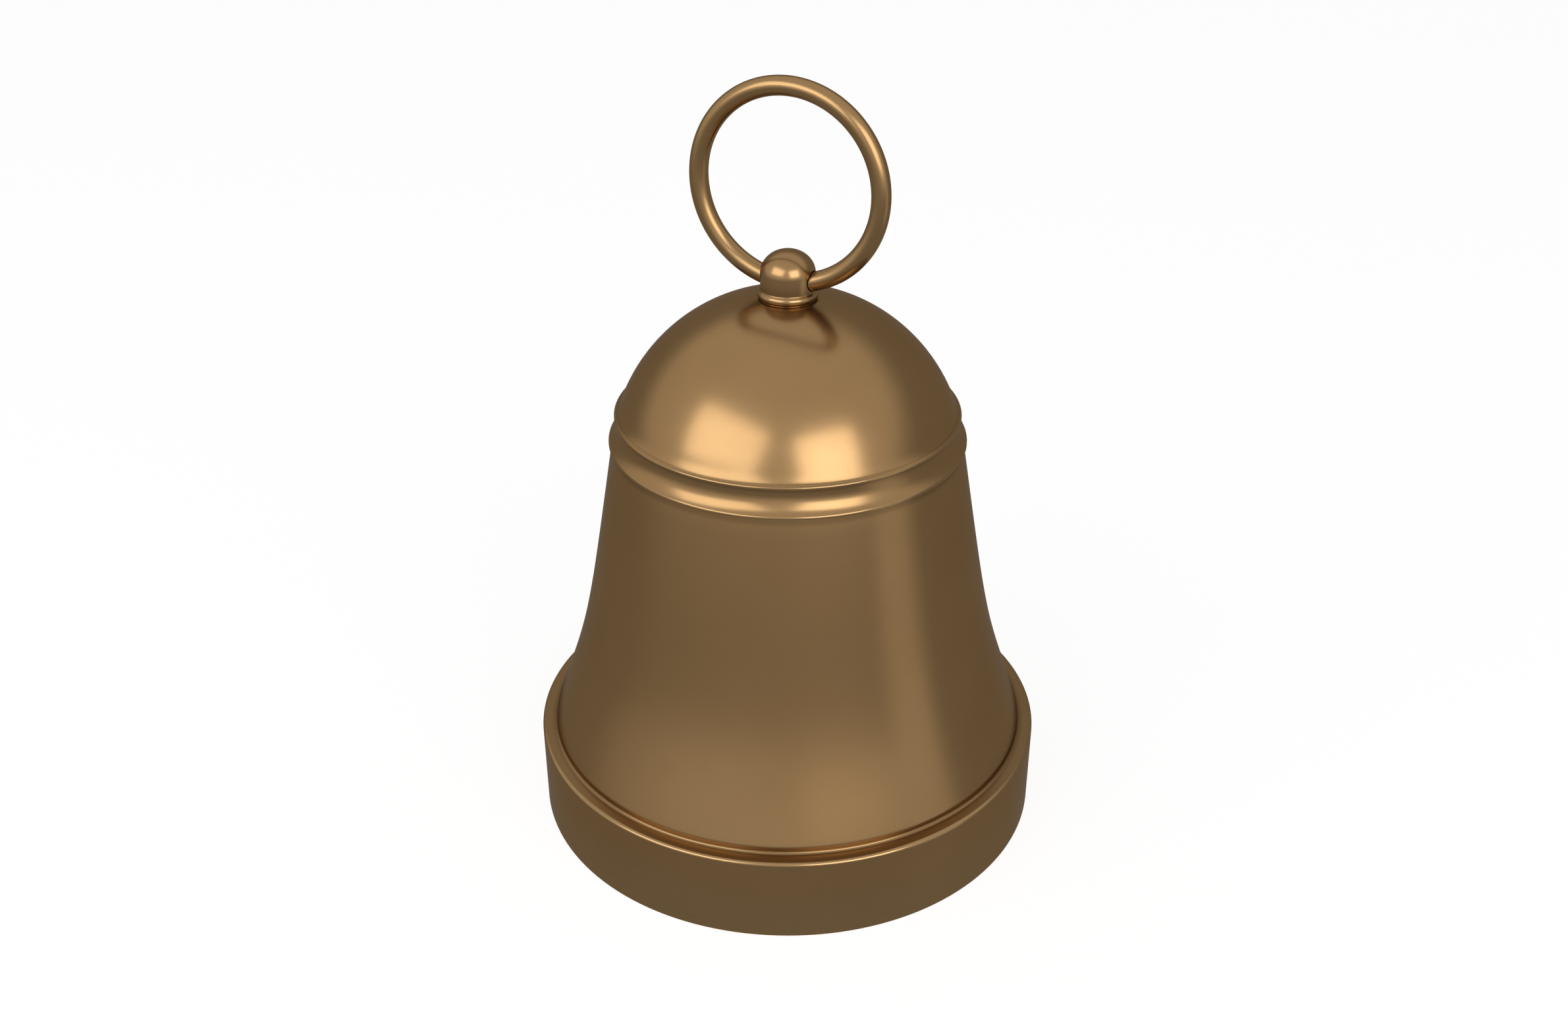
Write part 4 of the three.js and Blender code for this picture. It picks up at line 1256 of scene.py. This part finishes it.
def make_softbox(name, azimuth, elevation, half_width, half_height, power):
    """A large soft light that spans so many degrees each way from its middle, seen from the bell."""
    data = bpy.data.lights.new(name, "AREA")
    data.shape = "RECTANGLE"
    data.size = 2 * SOFTBOX_DISTANCE * tan(radians(half_width))
    data.size_y = 2 * SOFTBOX_DISTANCE * tan(radians(half_height))
    data.energy = power * data.size * data.size_y
    light = bpy.data.objects.new(name, data)
    aim = direction(azimuth, elevation)
    light.location = aim * SOFTBOX_DISTANCE + Vector((0, 0, 0.25))
    light.rotation_euler = aim.to_track_quat("Z", "Y").to_euler()
    light.visible_camera = False
    scene.collection.objects.link(light)


def make_world():
    """A white backdrop, and round the bell a dim room that is lighter in front and above, in an upright
    strip to the right that reaches lower, and straight below."""
    world = bpy.data.worlds.new("studio")
    scene.world = world
    world.use_nodes = True
    nodes = Nodes(world.node_tree)
    nodes.tree.nodes.clear()

    def level(elevation):
        return sin(radians(elevation))

    look = nodes.add("TexCoord").outputs["Generated"]
    height = nodes.add("SeparateXYZ", {0: look}).outputs["Z"]
    facing = nodes.vectors("DOT_PRODUCT", look, direction(-20, 45), "Value")
    lit = nodes.between(facing, -0.2, 0.22)
    lit = nodes.maths("MULTIPLY", lit, nodes.between(height, level(-26), level(9)))

    ground_way = nodes.vectors("NORMALIZE", nodes.vectors("MULTIPLY", look, (1, 1, 0)))
    strip_way = nodes.vectors("DOT_PRODUCT", ground_way, direction(66, 0), "Value")
    strip = nodes.between(strip_way, cos(radians(17)), cos(radians(7)))
    strip = nodes.maths("MULTIPLY", strip, nodes.between(height, level(-40), level(-28), 0, 0.7))

    strength = nodes.between(nodes.maths("MAXIMUM", lit, strip), 0, 1, DIM_ROOM, LIT_ROOM)
    below = nodes.between(height, level(-62), level(-80), 0, LIGHT_BELOW)
    strength = nodes.maths("MAXIMUM", strength, below)
    white = colour(1, 1, 1)
    room = nodes.add("Background", {"Color": white, "Strength": strength}).outputs[0]
    backdrop = nodes.add("Background", {"Color": white, "Strength": 1.0}).outputs[0]
    seen = nodes.add("LightPath").outputs["Is Camera Ray"]
    nodes.add("OutputWorld", {"Surface": nodes.mix(seen, room, backdrop)})


scene.view_settings.view_transform = "Standard"
make_world()
make_floor()
make_softbox("softbox left", -47, 29.5, half_width=25, half_height=16.5, power=2.75)
make_softbox("softbox right", 28, 23.5, half_width=19, half_height=17.5, power=3.5)
